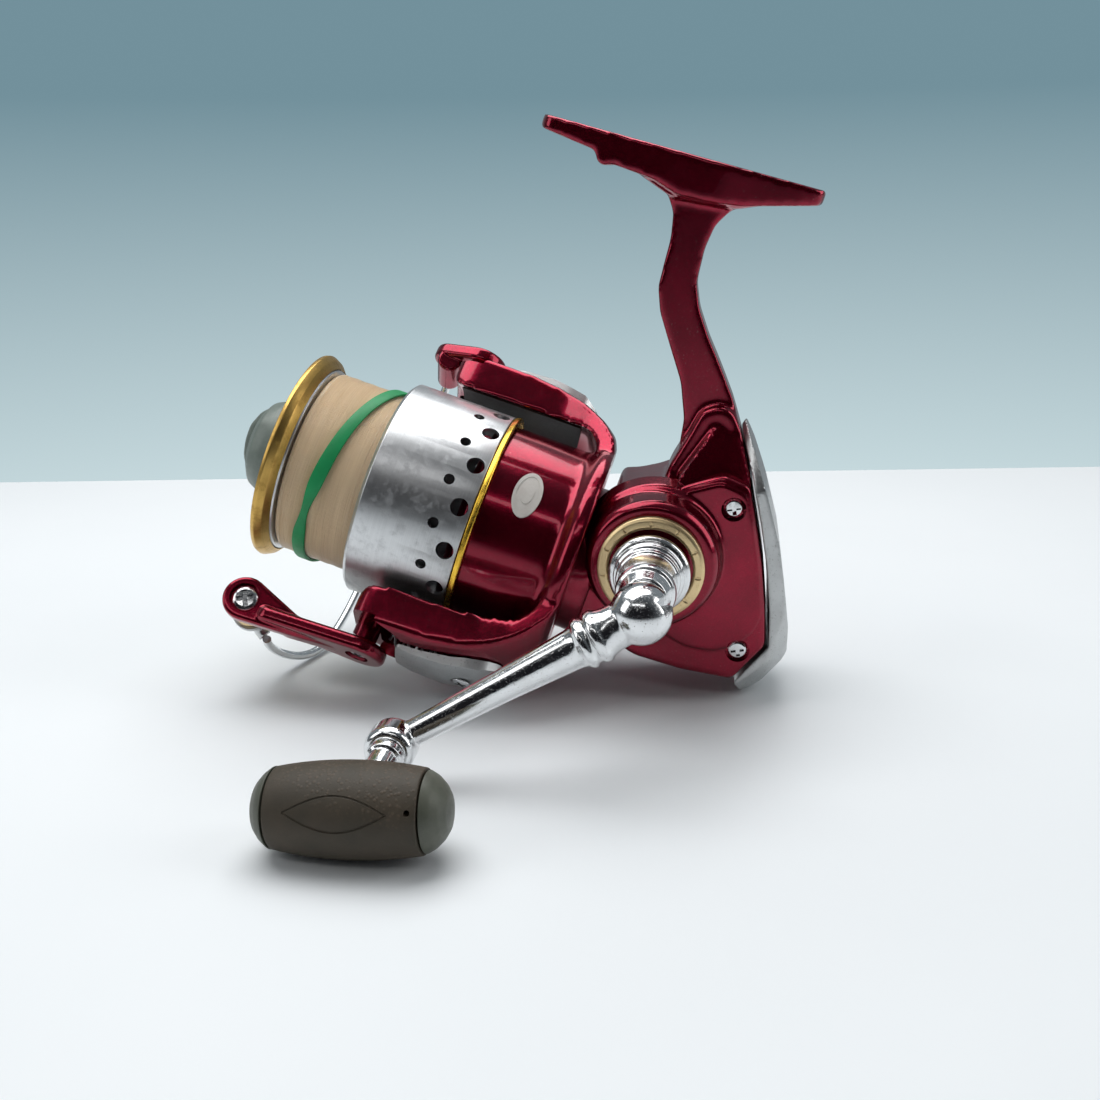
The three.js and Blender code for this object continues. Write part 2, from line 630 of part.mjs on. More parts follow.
const upperBottom = armOuter + leverGap;
const wireHead = [-63.6, 1.5, 37.6];
piece(
  "wire_lever",
  cut(
    join(
      plate(link([pivotX, 0], 6.2, [wireHead[0], wireHead[1]], 4.6), upperBottom, upperBottom + 3.6,
        { curve: 4 }),
      rod("y", -2.4, 8.4, 3, { at: [wireHead[0], 0, wireHead[2]], segments: 12 }),
    ),
    rod("z", upperBottom + 1.8, upperBottom + 9, 2.8, { at: [pivotX, 0, 0], segments: 12 }),
    rod("z", upperBottom - 5, upperBottom + 9, 1.6, { at: [pivotX, 0, 0], segments: 10 }),
    rod("y", 3, 9, 1.5, { at: [wireHead[0], 0, wireHead[2]], segments: 10 }),
  ),
  ...candyRed,
);

[["upper", 1], ["lower", -1]].forEach(([side, sign]) => {
  const near = sign * (armOuter - 4);
  const face = sign * (armOuter + leverGap + 3);
  const under = sign * (armOuter + leverGap + 2);
  piece(
    "bail_pivot_screw_" + side,
    cut(
      turned("z", [[near, 0], [near, 1.2], [under, 1.2], [under, 2.4], [face, 2.4], [face, 0]],
        { at: [pivotX, 0, 0], segments: 10 }),
      box([pivotX - 1.5, -0.25, sign > 0 ? face - 0.5 : face - 1],
        [pivotX + 1.5, 0.25, sign > 0 ? face + 1 : face + 0.5]),
      box([pivotX - 0.25, -1.5, sign > 0 ? face - 0.5 : face - 1],
        [pivotX + 0.25, 1.5, sign > 0 ? face + 1 : face + 0.5]),
    ),
    ...chrome,
  );
});

const coneY = 9.8;
piece(
  "roller_cone",
  cut(
    join(
      turned("y", [[coneY, 0], [coneY, 4.6], [coneY + 1.6, 4.4], [coneY + 4.6, 2.6], [coneY + 5.6, 0]],
        { at: [rollerX, 0, rollerZ], segments: 16 }),
      wire([[rollerX, coneY + 3, rollerZ], [rollerX + 2, coneY + 3.6, rollerZ - 2], [rollerX + 4.4, coneY + 4.1,
        rollerZ - 3.3]], 1.7, { steps: 6, sides: 6 }),
    ),
    rod("y", coneY - 2, coneY + 3, 1.5, { at: [rollerX, 0, rollerZ], segments: 10 }),
  ),
  ...satinSilver,
);
piece(
  "bail_wire",
  wire([[rollerX + 5.3, coneY + 4.8, rollerZ - 4.1], [-80, 19.5, -43], [-74.4, 28.6, -41.2],
    [-70.8, 35, -35], [-70, 39.6, -27.5], [-70, 43.8, -18], [-70.4, 46.4, -7], [-70.8, 46.8, 5], [-70.4, 43, 17],
    [-69, 38, 23.6], [-67, 29.5, 28.4], [-65.2, 18.4, 31], [-64.4, 14, 33.4], [-64, 11, 36.6],
    [wireHead[0], 4.4, wireHead[2]]], 1.05, { steps: 42, sides: 3 }),
  ...chrome,
);
piece(
  "roller_screw",
  cut(
    turned("y", [[rollerHeadY + 0.2, 0], [rollerHeadY + 0.2, 2.2], [rollerHeadY + 0.9, 3],
      [rollerHeadY + 0.9, 1.2],
      [coneY + 2.4, 1.2], [coneY + 2.4, 0]], { at: [rollerX, 0, rollerZ], segments: 12 }),
    box([rollerX - 1.8, -20, rollerZ - 0.3], [rollerX + 1.8, rollerHeadY + 0.7, rollerZ + 0.3]),
    box([rollerX - 0.3, -20, rollerZ - 1.8], [rollerX + 0.3, rollerHeadY + 0.7, rollerZ + 1.8]),
  ),
  ...chrome,
);
piece(
  "line_roller",
  turned("y", [[rollerHeadY + 3.6, 1.6], [rollerHeadY + 3.6, 3.9], [4.8, 3], [7.4, 3],
    [coneY - 0.4, 3.8], [coneY - 0.4, 1.6],
    [rollerHeadY + 3.6, 1.6]], { at: [rollerX, 0, rollerZ], segments: 16 }),
  ...gold,
);

// ---- main shaft, which slides and carries the spool ------------------------------------------------------------

holder = reel;
piece("main_shaft", rod("x", -96, 8, shaftRadius, { segments: 12 }), ...steel);
piece(
  "oscillation_slider",
  cut(box([0.4, -3.4, -5], [7.6, 3.4, 5]), rod("x", -10, 10, shaftRadius + gap, { segments: 12 })),
  ...brass,
);
piece(
  "oscillation_gear",
  ring("y", 5, 8, 1.6, 6.6, { at: [12.5, 0, driveZ], segments: 16 }),
  0xdad6c8, 0.5, 0,
);
piece(
  "oscillation_post",
  rod("y", 4.6, 11, 1.2, { at: [12.5, 0, driveZ], segments: 8 }),
  ...steel,
);

// ---- spool -------------------------------------------------------------------------------------------------------

const hubRear = -72;
const hubFront = -80;
let spool = turned("x", [[hubRear, 3], [hubRear, 11], [skirtFrontX + 1.7, 11],
  [skirtFrontX + 1.7, skirtRadius - skirtWall],
  [skirtRearX, skirtRadius - skirtWall], [skirtRearX, skirtRadius], [skirtFrontX + 0.9, skirtRadius],
    [skirtFrontX, skirtRadius - 1],
  [skirtFrontX, arborRadius], [lipX + 3.2, arborRadius], [lipX + 3.2, 22.6], [lipX + 1.2, 23.2],
    [lipX - 0.4, 23.1],
  [lipX - 1.6, 20.5], [lipX - 2, 16.5], [lipX - 1.6, 12.9], [hubFront, 12.9], [hubFront, 3],
    [hubRear, 3]], { segments: 36 });
const holeCount = 16;
const largeHoleX = -43.9;
const smallHoleX = -48.2;
for (let k = 0; k < holeCount; k++) {
  const step = 360 / holeCount;
  spool = spool.subtract(
    rod("z", skirtRadius - 3, skirtRadius + 3, 2.05, { at: [largeHoleX, 0, 0],
      segments: 8 }).rotate([step * k, 0, 0]),
  );
  spool = spool.subtract(
    rod("z", skirtRadius - 3, skirtRadius + 3, 1.25, { at: [smallHoleX, 0, 0],
      segments: 6 }).rotate([step * (k + 0.5), 0, 0]),
  );
}
piece("spool", spool, ...satinSilver);
piece(
  "lip_ring",
  turned("x", [[lipX + 2.9, 22.95], [lipX + 1.6, 24.6], [lipX, lipRadius], [lipX - 0.9, lipRadius - 0.3],
    [lipX - 0.9, 24.2], [lipX - 0.2, 23.5], [lipX + 1.4, 23.6], [lipX + 2.9, 22.95]], { segments: 36 }),
  ...gold,
);
piece("skirt_ring", ring("x", skirtRearX + 0.3, skirtRearX + 1.6, skirtRadius - skirtWall + 0.1,
  skirtRadius + 0.4, { segments: 36 }), ...gold);
piece(
  "line_winding",
  turned("x", [[lipX + 3.5, arborRadius + gap], [lipX + 3.5, lineRadius - 0.4], [lipX + 5, lineRadius],
    [skirtFrontX - 2, lineRadius], [skirtFrontX - gap, lineRadius - 0.6],
      [skirtFrontX - gap, arborRadius + gap],
    [lipX + 3.5, arborRadius + gap]], { segments: 28 }),
  0xcdb489, 0.5, 0,
);

// The rubber band crosses the winding at a slant.
const bandSlant = new THREE.Matrix4().set(1, 0.16, 0.15, -73.3, 0, 1, 0, 0, 0, 0, 1, 0, 0, 0, 0, 1);
const bandGeometry = new THREE.LatheGeometry(
  [[-1.6, lineRadius + gap], [-1.6, lineRadius + 1], [1.6, lineRadius + 1], [1.6, lineRadius + gap],
    [-1.6, lineRadius + gap]]
    .map(([along, radius]) => new THREE.Vector2(radius, along)),
  28,
);
bandGeometry.rotateZ(-Math.PI / 2).applyMatrix4(bandSlant);
piece("rubber_band", solidOf(bandGeometry), 0x15a259, 0.7, 0);

[0, 1, 2].forEach((k) => {
  const from = hubFront - gap - 1.2 * k;
  piece("drag_washer_" + (k + 1), ring("x", from - 0.9, from, 3.4, 12.3, { segments: 16 }), 0x4a4038,
    0.8, 0);
});
piece("drag_clip", ring("x", -84.7, -84, 10.2, 12.4, { segments: 20 }), ...steel);

// ---- drag knob -----------------------------------------------------------------------------------------------------

piece(
  "drag_knob",
  cut(
    join(
      turned("x", [[-85.2, 0], [-85.2, dragRadius - 0.6], [-91, dragRadius],
        [-94.5, dragRadius - 0.6], [-97, 10.4],
        [-98.6, 7.6], [-99.2, 0]], { segments: 24 }),
      slab(polygon([[-90, -11.4], [-94, -11.6], [-99, -8], [-101, -4], [-101.4, 0], [-101, 4],
        [-99, 8], [-94, 11.6], [-90, 11.4]]),
        -2.6, 2.6),
    ),
    rod("x", -98, -80, shaftRadius + 0.4, { segments: 12 }),
  ),
  0x6f7a70, 0.45, 0.2,
);

// ---- the whole reel, lying on the table ------------------------------------------------------------------------------

reel.rotation.set(leanAngle, noseAngle, 0);
reel.position.copy(tableShift);
const model = new THREE.Group();
model.add(reel);
export default model;
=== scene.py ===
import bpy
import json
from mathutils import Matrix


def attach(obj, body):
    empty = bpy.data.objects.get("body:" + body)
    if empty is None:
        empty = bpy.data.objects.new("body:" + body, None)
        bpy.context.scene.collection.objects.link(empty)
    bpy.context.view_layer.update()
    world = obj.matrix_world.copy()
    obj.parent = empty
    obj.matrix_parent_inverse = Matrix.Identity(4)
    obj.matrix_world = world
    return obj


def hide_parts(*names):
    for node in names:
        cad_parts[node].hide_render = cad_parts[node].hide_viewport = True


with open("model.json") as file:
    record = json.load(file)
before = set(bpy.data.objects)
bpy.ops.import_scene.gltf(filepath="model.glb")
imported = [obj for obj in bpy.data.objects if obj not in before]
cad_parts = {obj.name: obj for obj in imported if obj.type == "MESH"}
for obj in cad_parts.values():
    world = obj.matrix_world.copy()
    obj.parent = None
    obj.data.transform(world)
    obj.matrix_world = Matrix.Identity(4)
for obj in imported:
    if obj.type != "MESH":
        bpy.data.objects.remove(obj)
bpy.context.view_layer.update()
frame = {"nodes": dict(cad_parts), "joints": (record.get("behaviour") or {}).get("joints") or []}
import json
import math

import bmesh
import bpy
from mathutils import Matrix, Vector

# The reel is modelled in millimetres: X along the spool axis, Y along the handle axis, Z up to the foot.
joints = {joint["name"]: joint for joint in frame["joints"]}
alongSpool = Vector(joints["rotor_spin"]["axis"]).normalized()
alongHandle = Vector(joints["handle_spin"]["axis"]).normalized()
upReel = alongSpool.cross(alongHandle)
reelOrigin = Vector(joints["rotor_spin"]["pos_m"]) + 0.030 * alongSpool
reelAxes = Matrix((alongSpool, alongHandle, upReel)).transposed().to_4x4()
reelPlace = Matrix.Translation(reelOrigin) @ reelAxes @ Matrix.Scale(0.001, 4)
rotorTurn = 0.72  # how far the rotor stands turned
rotorPlace = reelPlace @ Matrix.Rotation(-rotorTurn, 4, "X")
driveZ = 11.5  # the handle axis passes above the spool axis


# Shapes: every helper gives back a bmesh in millimetres.

def wireProfile(points, rounding=0.0, closed=False, steps=3):
    bm = bmesh.new()
    verts = [bm.verts.new((a, b, 0)) for a, b in points]
    for first, second in zip(verts, verts[1:]):
        bm.edges.new((first, second))
    if closed:
        bm.edges.new((verts[-1], verts[0]))
    if rounding:
        corners = verts if closed else verts[1:-1]
        bmesh.ops.bevel(bm, geom=corners, offset=rounding, offset_type="OFFSET", segments=steps,
                        profile=0.5, affect="VERTICES", material=-1, clamp_overlap=True)
    return bm


def aimed(bm, at, towards):
    turn = Vector((1, 0, 0)).rotation_difference(Vector(towards)).to_matrix().to_4x4()
    bm.transform(Matrix.Translation(at) @ turn)
    return bm


# A profile of (along, radius) points spun about the line through "at" that points "towards".
def turned(points, rounding=0.12, steps=96, at=(0, 0, 0), towards=(1, 0, 0), closed=False):
    bm = wireProfile(points, rounding, closed)
    bmesh.ops.spin(bm, geom=bm.verts[:] + bm.edges[:], axis=(1, 0, 0), cent=(0, 0, 0),
                   angle=2 * math.pi, steps=steps, use_merge=True)
    bmesh.ops.remove_doubles(bm, verts=bm.verts, dist=1e-4)
    bmesh.ops.recalc_face_normals(bm, faces=bm.faces)
    return aimed(bm, at, towards)


def rod(start, end, radius, at=(0, 0, 0), towards=(1, 0, 0), rounding=0, steps=64):
    return turned([(start, 0), (start, radius), (end, radius), (end, 0)], rounding, steps, at, towards)


# The same two shapes about the handle axis.
def driveTurned(points, rounding, steps, closed=False):
    return turned(points, rounding, steps, (0, 0, driveZ), (0, 1, 0), closed)


def driveRod(start, end, radius, rounding=0):
    return rod(start, end, radius, (0, 0, driveZ), (0, 1, 0), rounding)


# An outline given thickness: "xz" outlines get it along Y, "xy" outlines along Z.
def slab(points, low, high, rounding=0.8, edge=0.4, plane="xz", steps=4, edgeSteps=3):
    bm = wireProfile(points, rounding, True, steps)
    bmesh.ops.edgeloop_fill(bm, edges=bm.edges)
    grown = bmesh.ops.extrude_face_region(bm, geom=bm.faces[:], use_keep_orig=True)
    moved = [v for v in grown["geom"] if isinstance(v, bmesh.types.BMVert)]
    bmesh.ops.translate(bm, vec=(0, 0, high - low), verts=moved)
    bmesh.ops.recalc_face_normals(bm, faces=bm.faces)
    if edge:
        # the sharp edges that run round the two faces
        rims = [e for e in bm.edges if len(e.link_faces) == 2 and e.calc_face_angle() > 1.2
                and abs(e.verts[0].co.z - e.verts[1].co.z) < 1e-4]
        bmesh.ops.bevel(bm, geom=rims, offset=edge, offset_type="OFFSET", segments=edgeSteps,
                        profile=0.5, affect="EDGES", material=-1, clamp_overlap=True)
    bmesh.ops.translate(bm, vec=(0, 0, -high if plane == "xz" else low), verts=bm.verts)
    if plane == "xz":
        bm.transform(Matrix.Rotation(math.pi / 2, 4, "X"))
    return bm


def block(low, high):
    bm = bmesh.new()
    bmesh.ops.create_cube(bm, size=1)
    middle = (Vector(low) + Vector(high)) / 2
    size = Vector(high) - Vector(low)
    bmesh.ops.scale(bm, vec=size, verts=bm.verts)
    bmesh.ops.translate(bm, vec=middle, verts=bm.verts)
    return bm


# The shape turned about one of the axes, in its place.
def spun(bm, angle, axis="X"):
    bmesh.ops.rotate(bm, cent=(0, 0, 0), matrix=Matrix.Rotation(angle, 3, axis), verts=bm.verts)
    return bm


# One side of an outline, followed by the other side as its mirror image.
def mirrored(half):
    return [*half, *((x, -y) for x, y in reversed(half))]


def meshOf(name, bm):
    mesh = bpy.data.meshes.new(name)
    bm.to_mesh(mesh)
    bm.free()
    return mesh


def inScene(name, data):
    made = bpy.data.objects.new(name, data)
    bpy.context.scene.collection.objects.link(made)
    return made


def joined(*parts):
    whole = bmesh.new()
    for part in parts:
        mesh = meshOf("loose", part)
        whole.from_mesh(mesh)
        bpy.data.meshes.remove(mesh)
    return whole


def asObject(bm):
    return inScene("loose", meshOf("loose", bm))


# The shape that an object's modifiers leave, with the object and its helpers cleared away.
def settled(made, *helpers):
    graph = bpy.context.evaluated_depsgraph_get()
    mesh = bpy.data.meshes.new_from_object(made.evaluated_get(graph))
    bm = bmesh.new()
    bm.from_mesh(mesh)
    bpy.data.meshes.remove(mesh)
    for old in (made, *helpers):
        data = old.data
        bpy.data.objects.remove(old)
        if isinstance(data, bpy.types.Mesh):
            bpy.data.meshes.remove(data)
        else:
            bpy.data.curves.remove(data)
    return bm


def combined(bm, how, *tools):
    made = asObject(bm)
    helpers = [asObject(tool) for tool in tools]
    for helper in helpers:
        change = made.modifiers.new("combine", "BOOLEAN")
        change.operation = how
        change.solver = "EXACT"
        change.object = helper
    return settled(made, *helpers)


def cut(bm, *tools):
    return combined(bm, "DIFFERENCE", *tools)


def overlap(bm, *tools):
    return combined(bm, "INTERSECT", *tools)


# Overlapping closed shells run together, as a casting has them.
def cast(bm, grain=0.4, rounds=6):
    made = asObject(bm)
    remesh = made.modifiers.new("melt", "REMESH")
    remesh.mode = "VOXEL"
    remesh.voxel_size = grain
    soften = made.modifiers.new("soften", "SMOOTH")
    soften.factor = 0.5
    soften.iterations = rounds
    return settled(made)


def wireAlong(points, radius, sides=4, fine=8):
    curve = bpy.data.curves.new("loose", "CURVE")
    curve.dimensions = "3D"
    curve.bevel_depth = radius
    curve.bevel_resolution = sides
    curve.use_fill_caps = True
    line = curve.splines.new("NURBS")
    line.points.add(len(points) - 1)
    for spot, place in zip(line.points, points):
        spot.co = (*place, 1)
    line.order_u = 4
    line.resolution_u = fine
    line.use_endpoint_u = True
    bm = settled(inScene("loose", curve))
    bmesh.ops.remove_doubles(bm, verts=bm.verts, dist=1e-4)
    return bm


# Puts a finished shape in its place on its body and hides the CAD nodes it stands for.
def piece(name, bm, body, slot, finish, *nodes, place=reelPlace, sharp=32):
    bm.transform(place)
    mesh = meshOf(name, bm)
    mesh.shade_smooth()
    mesh.set_sharp_from_angle(angle=math.radians(sharp))
    mesh.materials.clear()
    mesh.materials.append(finish)
    made = inScene(name, mesh)
    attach(made, body)
    if nodes:
        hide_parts(*nodes)
    return made


# Finishes: node materials, patterned in the reel's own millimetres.

class Wire:
    def __init__(self, tree, socket):
        self.tree = tree
        self.socket = socket

    def output(self, name):
        return Wire(self.tree, self.socket.node.outputs[name])

    def maths(self, operation, *others):
        node = self.tree.nodes.new("ShaderNodeMath")
        node.operation = operation
        for entry, value in zip(node.inputs, (self, *others)):
            if isinstance(value, Wire):
                self.tree.links.new(value.socket, entry)
            else:
                entry.default_value = value
        return Wire(self.tree, node.outputs[0])

    def __add__(self, other):
        return self.maths("ADD", other)

    __radd__ = __add__

    def __sub__(self, other):
        return self.maths("SUBTRACT", other)

    def __rsub__(self, other):
        return self.maths("MULTIPLY_ADD", -1.0, other)

    def __mul__(self, other):
        return self.maths("MULTIPLY", other)

    __rmul__ = __mul__

    def __pow__(self, other):
        return self.maths("POWER", other)


class NodeWork:
    def __init__(self, tree):
        self.tree = tree

    def put(self, entry, value):
        if isinstance(value, Wire):
            self.tree.links.new(value.socket, entry)
        elif isinstance(value, tuple) and len(value) == 3 and entry.type == "RGBA":
            entry.default_value = (*value, 1)
        else:
            entry.default_value = value

    def node(self, kind, settings, sockets, out=0):
        node = self.tree.nodes.new("ShaderNode" + kind)
        for label, value in settings.items():
            if label == "stops":
                while len(node.color_ramp.elements) < len(value):
                    node.color_ramp.elements.new(0.5)
                for stop, (where, shade) in zip(node.color_ramp.elements, value):
                    stop.position = where
                    stop.color = (shade, shade, shade, 1)
            else:
                setattr(node, label, value)
        for label, value in sockets.items():
            self.put(node.inputs[label], value)
        return Wire(self.tree, node.outputs[out])

    # Object coordinates brought into the reel's own millimetres.
    def space(self, place):
        spot, turn, size = place.decompose()
        return self.node("Mapping", {"vector_type": "TEXTURE"}, {
            "Vector": self.node("TexCoord", {}, {}, "Object"), "Location": spot,
            "Rotation": turn.to_euler("XYZ"), "Scale": size})

    def split(self, vector):
        apart = self.node("SeparateXYZ", {}, {"Vector": vector})
        return [apart.output(axis) for axis in "XYZ"]

    def merge(self, x, y, z):
        return self.node("CombineXYZ", {}, {"X": x, "Y": y, "Z": z})

    def turnAngle(self, y, z):
        return self.node("Math", {"operation": "ARCTAN2"}, {0: y, 1: z})

    def noise(self, vector, scale, detail=3.0, rough=0.5):
        return self.node("TexNoise", {}, {"Vector": vector, "Scale": scale, "Detail": detail,
                                          "Roughness": rough})

    def ramp(self, value, *stops):
        return self.node("ValToRGB", {"stops": stops}, {"Fac": value})

    def mix(self, factor, first, second):
        return self.node("Mix", {"data_type": "RGBA"}, {0: factor, 6: first, 7: second}, 2)

    def bump(self, height, strength, distance):
        return self.node("Bump", {}, {"Height": height, "Strength": strength, "Distance": distance})


class Finish(NodeWork):
    def __init__(self, name, **sockets):
        self.material = bpy.data.materials.new(name)
        self.material.use_nodes = True
        super().__init__(self.material.node_tree)
        self.shader = self.tree.nodes["Principled BSDF"]
        self.feed(**sockets)

    # Base_Color=..., Roughness=...: values or links for the shader's own sockets.
    def feed(self, **sockets):
        for label, value in sockets.items():
            self.put(self.shader.inputs[label.replace("_", " ")], value)


# Clear red lacquer over metal flake, with rubbed areas and specks of dust.
def candyRed(place):
    look = {"deep": (0.12, 0.0, 0.01), "bright": (0.5, 0.003, 0.042), "dust": (0.5, 0.42, 0.4)}
    f = Finish("candyRed", Metallic=0.86, IOR=1.5, Coat_Roughness=0.035, Coat_IOR=1.55)
    spot = f.space(place)
    cloud = f.ramp(f.noise(spot, 0.09, 4), (0.3, 0.0), (0.72, 1.0))
    flakes = f.node("TexVoronoi", {}, {"Vector": spot, "Scale": 7.0}, "Color")
    sparkle = f.split(flakes)[0]
    specks = f.ramp(f.noise(spot, 2.6, 2), (0.69, 0.0), (0.73, 1.0))
    base = f.mix(cloud * 0.22 + sparkle * 0.3, look["deep"], look["bright"])
    rub = f.ramp(f.noise(spot, 0.4, 6, 0.7), (0.45, 0.0), (0.75, 1.0))
    f.feed(Base_Color=f.mix(specks * 0.25, base, look["dust"]),
           Roughness=rub * 0.07 + sparkle * 0.05 + 0.15,
           Coat_Weight=0.4 - specks * 0.3,
           Normal=f.bump(sparkle * 0.4 + f.noise(spot, 0.8, 2), 0.1, 0.00003))
    return f.material


# Bright metal turned on a lathe about the X axis of "place".
def turnedMetal(name, place, shade, dark, rough=0.26, lines=7.0, wear=0.3):
    f = Finish(name, Metallic=1.0)
    spot = f.space(place)
    x, y, z = f.split(spot)
    radius = (y * y + z * z) ** 0.5
    angle = f.turnAngle(y, z)
    rings = f.noise(f.merge(x * lines, radius * lines, angle * 0.7), 1.0, 4, 0.7)
    scuffs = f.ramp(f.noise(spot, 0.35, 7, 0.72), (0.5, 0.0), (0.68, 1.0))
    dents = f.ramp(f.noise(spot, 1.7, 3), (0.66, 0.0), (0.74, 1.0))
    tone = rings * 0.5 + scuffs * wear
    f.feed(Base_Color=f.mix(tone, shade, dark),
           Roughness=rings * 0.16 + scuffs * 0.16 + rough - 0.06,
           Normal=f.bump(rings * 0.8 - dents * 0.5, 0.22, 0.00004))
    return f.material


# Plated or polished metal with pits and fine scratches.
def platedMetal(name, place, shade, dark, rough=0.08, pits=0.5, metallic=1.0):
    f = Finish(name, Metallic=metallic)
    spot = f.space(place)
    pit = f.ramp(f.noise(spot, 2.2, 4, 0.65), (0.6, 0.0), (0.7, 1.0))
    haze = f.ramp(f.noise(spot, 0.22, 5, 0.6), (0.35, 0.0), (0.75, 1.0))
    x, y, z = f.split(spot)
    scratch = f.ramp(f.noise(f.merge(x * 0.3 + z * 3.2, y * 0.3, z * 0.4 - x * 2.4), 2.0, 2),
                     (0.62, 0.0), (0.66, 1.0))
    f.feed(Base_Color=f.mix(pit * pits + haze * 0.18, shade, dark),
           Roughness=pit * 0.3 + haze * 0.12 + scratch * 0.08 + rough,
           Normal=f.bump(0.0 - pit - scratch * 0.4, 0.25, 0.00004))
    return f.material


# Moulded plastic, rubber or felt: a fine grain under large faint stains.
def moulded(name, place, shade, dark, rough=0.55, grain=1.6, depth=0.2, sheen=0.0):
    f = Finish(name, Metallic=0.0, Sheen_Weight=sheen)
    spot = f.space(place)
    fine = f.noise(spot, grain, 4, 0.6)
    stain = f.ramp(f.noise(spot, 0.16, 5, 0.6), (0.32, 0.0), (0.7, 1.0))
    f.feed(Base_Color=f.mix(stain * 0.6 + fine * 0.4, shade, dark),
           Roughness=fine * 0.2 + rough - 0.1,
           Normal=f.bump(fine, depth, 0.00008))
    return f.material


def gripRubber(place, middle):
    f = Finish("gripRubber")
    spot = f.space(place)
    x, _, z = f.split(spot)
    fine = f.noise(spot, 2.4, 5, 0.7)
    stain = f.ramp(f.noise(spot, 0.12, 5, 0.6), (0.3, 0.0), (0.7, 1.0))
    # the stippled patch on the upper side of the grip, drawn lighter there: a painted highlight where the
    # light above falls
    top = f.ramp((z - middle.z) * 0.12 - (x - middle.x) * 0.012, (0.35, 0.0), (0.62, 1.0))
    dots = f.ramp(f.node("TexVoronoi", {}, {"Vector": spot, "Scale": 1.1}), (0.18, 1.0), (0.42, 0.0))
    # the lighter colour serves both the random stains and the painted highlight on the upper side
    look = {"olive": (0.036, 0.029, 0.017), "stainAndHighlight": (0.085, 0.06, 0.038)}
    f.feed(Base_Color=f.mix(stain * 0.5 + top * dots * 0.5, look["olive"], look["stainAndHighlight"]),
           Roughness=fine * 0.2 + 0.55 - top * 0.05,
           Normal=f.bump(fine * 0.5 + dots * top, 0.4, 0.00012))
    return f.material


# Wound line: strands along the turns, crossed by others at a steeper slant.
def monofilament():
    f = Finish("monofilament", Metallic=0.0, Subsurface_Weight=0.15, Subsurface_Scale=0.002,
               Subsurface_Radius=(1.0, 0.7, 0.4), Specular_IOR_Level=0.6)
    spot = f.space(reelPlace)
    x, y, z = f.split(spot)
    angle = f.turnAngle(y, z)
    strands = f.noise(f.merge(x * 4.2 + angle * 0.9, angle * 0.8, 0.0), 1.0, 2, 0.6)
    crossed = f.noise(f.merge(x * 3.2 - angle * 2.6, angle * 0.6, 2.0), 1.0, 2, 0.6)
    bands = f.ramp(f.noise(f.merge(x * 0.35, angle * 0.5, 0.0), 1.0, 3), (0.3, 0.0), (0.7, 1.0))
    tone = strands * 0.45 + crossed * 0.35 + bands * 0.3
    f.feed(Base_Color=f.mix(tone, (0.95, 0.77, 0.55), (0.6, 0.43, 0.25)),
           Roughness=strands * 0.25 + 0.22,
           Normal=f.bump(strands + crossed * 0.7, 0.7, 0.0002))
    return f.material


chromeTones = (0.78, 0.79, 0.8), (0.3, 0.29, 0.27)
paintedReel = candyRed(reelPlace)
paintedRotor = candyRed(rotorPlace)
spoolSilver = turnedMetal("spoolSilver", reelPlace, (0.74, 0.75, 0.76), (0.33, 0.34, 0.35), 0.3)
coverSilver = platedMetal("coverSilver", reelPlace, (0.55, 0.56, 0.56), (0.2, 0.2, 0.19), 0.3, 0.6)
armSilver = platedMetal("armSilver", rotorPlace, (0.6, 0.61, 0.61), (0.22, 0.22, 0.22), 0.3, 0.6)
chromeReel = platedMetal("chromeReel", reelPlace, *chromeTones, 0.07, 0.45)
chromeRotor = platedMetal("chromeRotor", rotorPlace, *chromeTones, 0.1, 0.4)
skirtGold = turnedMetal("skirtGold", reelPlace, (0.95, 0.6, 0.08), (0.6, 0.34, 0.04), 0.22, 5.0)
lipGold = turnedMetal("lipGold", reelPlace, (0.66, 0.42, 0.12), (0.34, 0.2, 0.05), 0.3, 5.0, 0.5)
hubGold = platedMetal("hubGold", reelPlace, (0.78, 0.6, 0.34), (0.45, 0.32, 0.16), 0.3, 0.4)
machinedSteel = platedMetal("machinedSteel", reelPlace, (0.5, 0.5, 0.51), (0.25, 0.25, 0.25), 0.3, 0.4)
machinedBrass = platedMetal("machinedBrass", reelPlace, (0.72, 0.5, 0.2), (0.4, 0.27, 0.1), 0.3, 0.4)
dragGrey = moulded("dragGrey", reelPlace, (0.2, 0.24, 0.21), (0.11, 0.135, 0.12), 0.4, 1.2, 0.1)
capGrey = moulded("capGrey", reelPlace, (0.11, 0.115, 0.085), (0.06, 0.065, 0.05), 0.45, 1.2, 0.1)
gearWhite = moulded("gearWhite", reelPlace, (0.7, 0.68, 0.6), (0.5, 0.47, 0.4), 0.5)
bandGreen = moulded("bandGreen", reelPlace, (0.0, 0.33, 0.1), (0.0, 0.22, 0.06), 0.5, 0.8, 0.12)
washerFelt = moulded("washerFelt", reelPlace, (0.09, 0.065, 0.05), (0.04, 0.03, 0.024), 0.9, 3.0, 0.6,
                     0.3)
badgeWhite = moulded("badgeWhite", rotorPlace, (0.72, 0.7, 0.66), (0.5, 0.46, 0.42), 0.35, 2.0, 0.05)
# painted shade: the dark colour of the sheet laid along the inner sides of the rotor arms
armShadeDark = moulded("armShadeDark", rotorPlace, (0.035, 0.018, 0.014), (0.016, 0.009, 0.008), 0.6, 1.8,
                     0.3)
print("finishes made")

# Camera, light and floor.

cameraSizes = {"spot": (0.0485, -0.2401, 0.1176), "azimuth": -8.85, "down": 17.81, "roll": 0.78,
               "lens": 38.24}


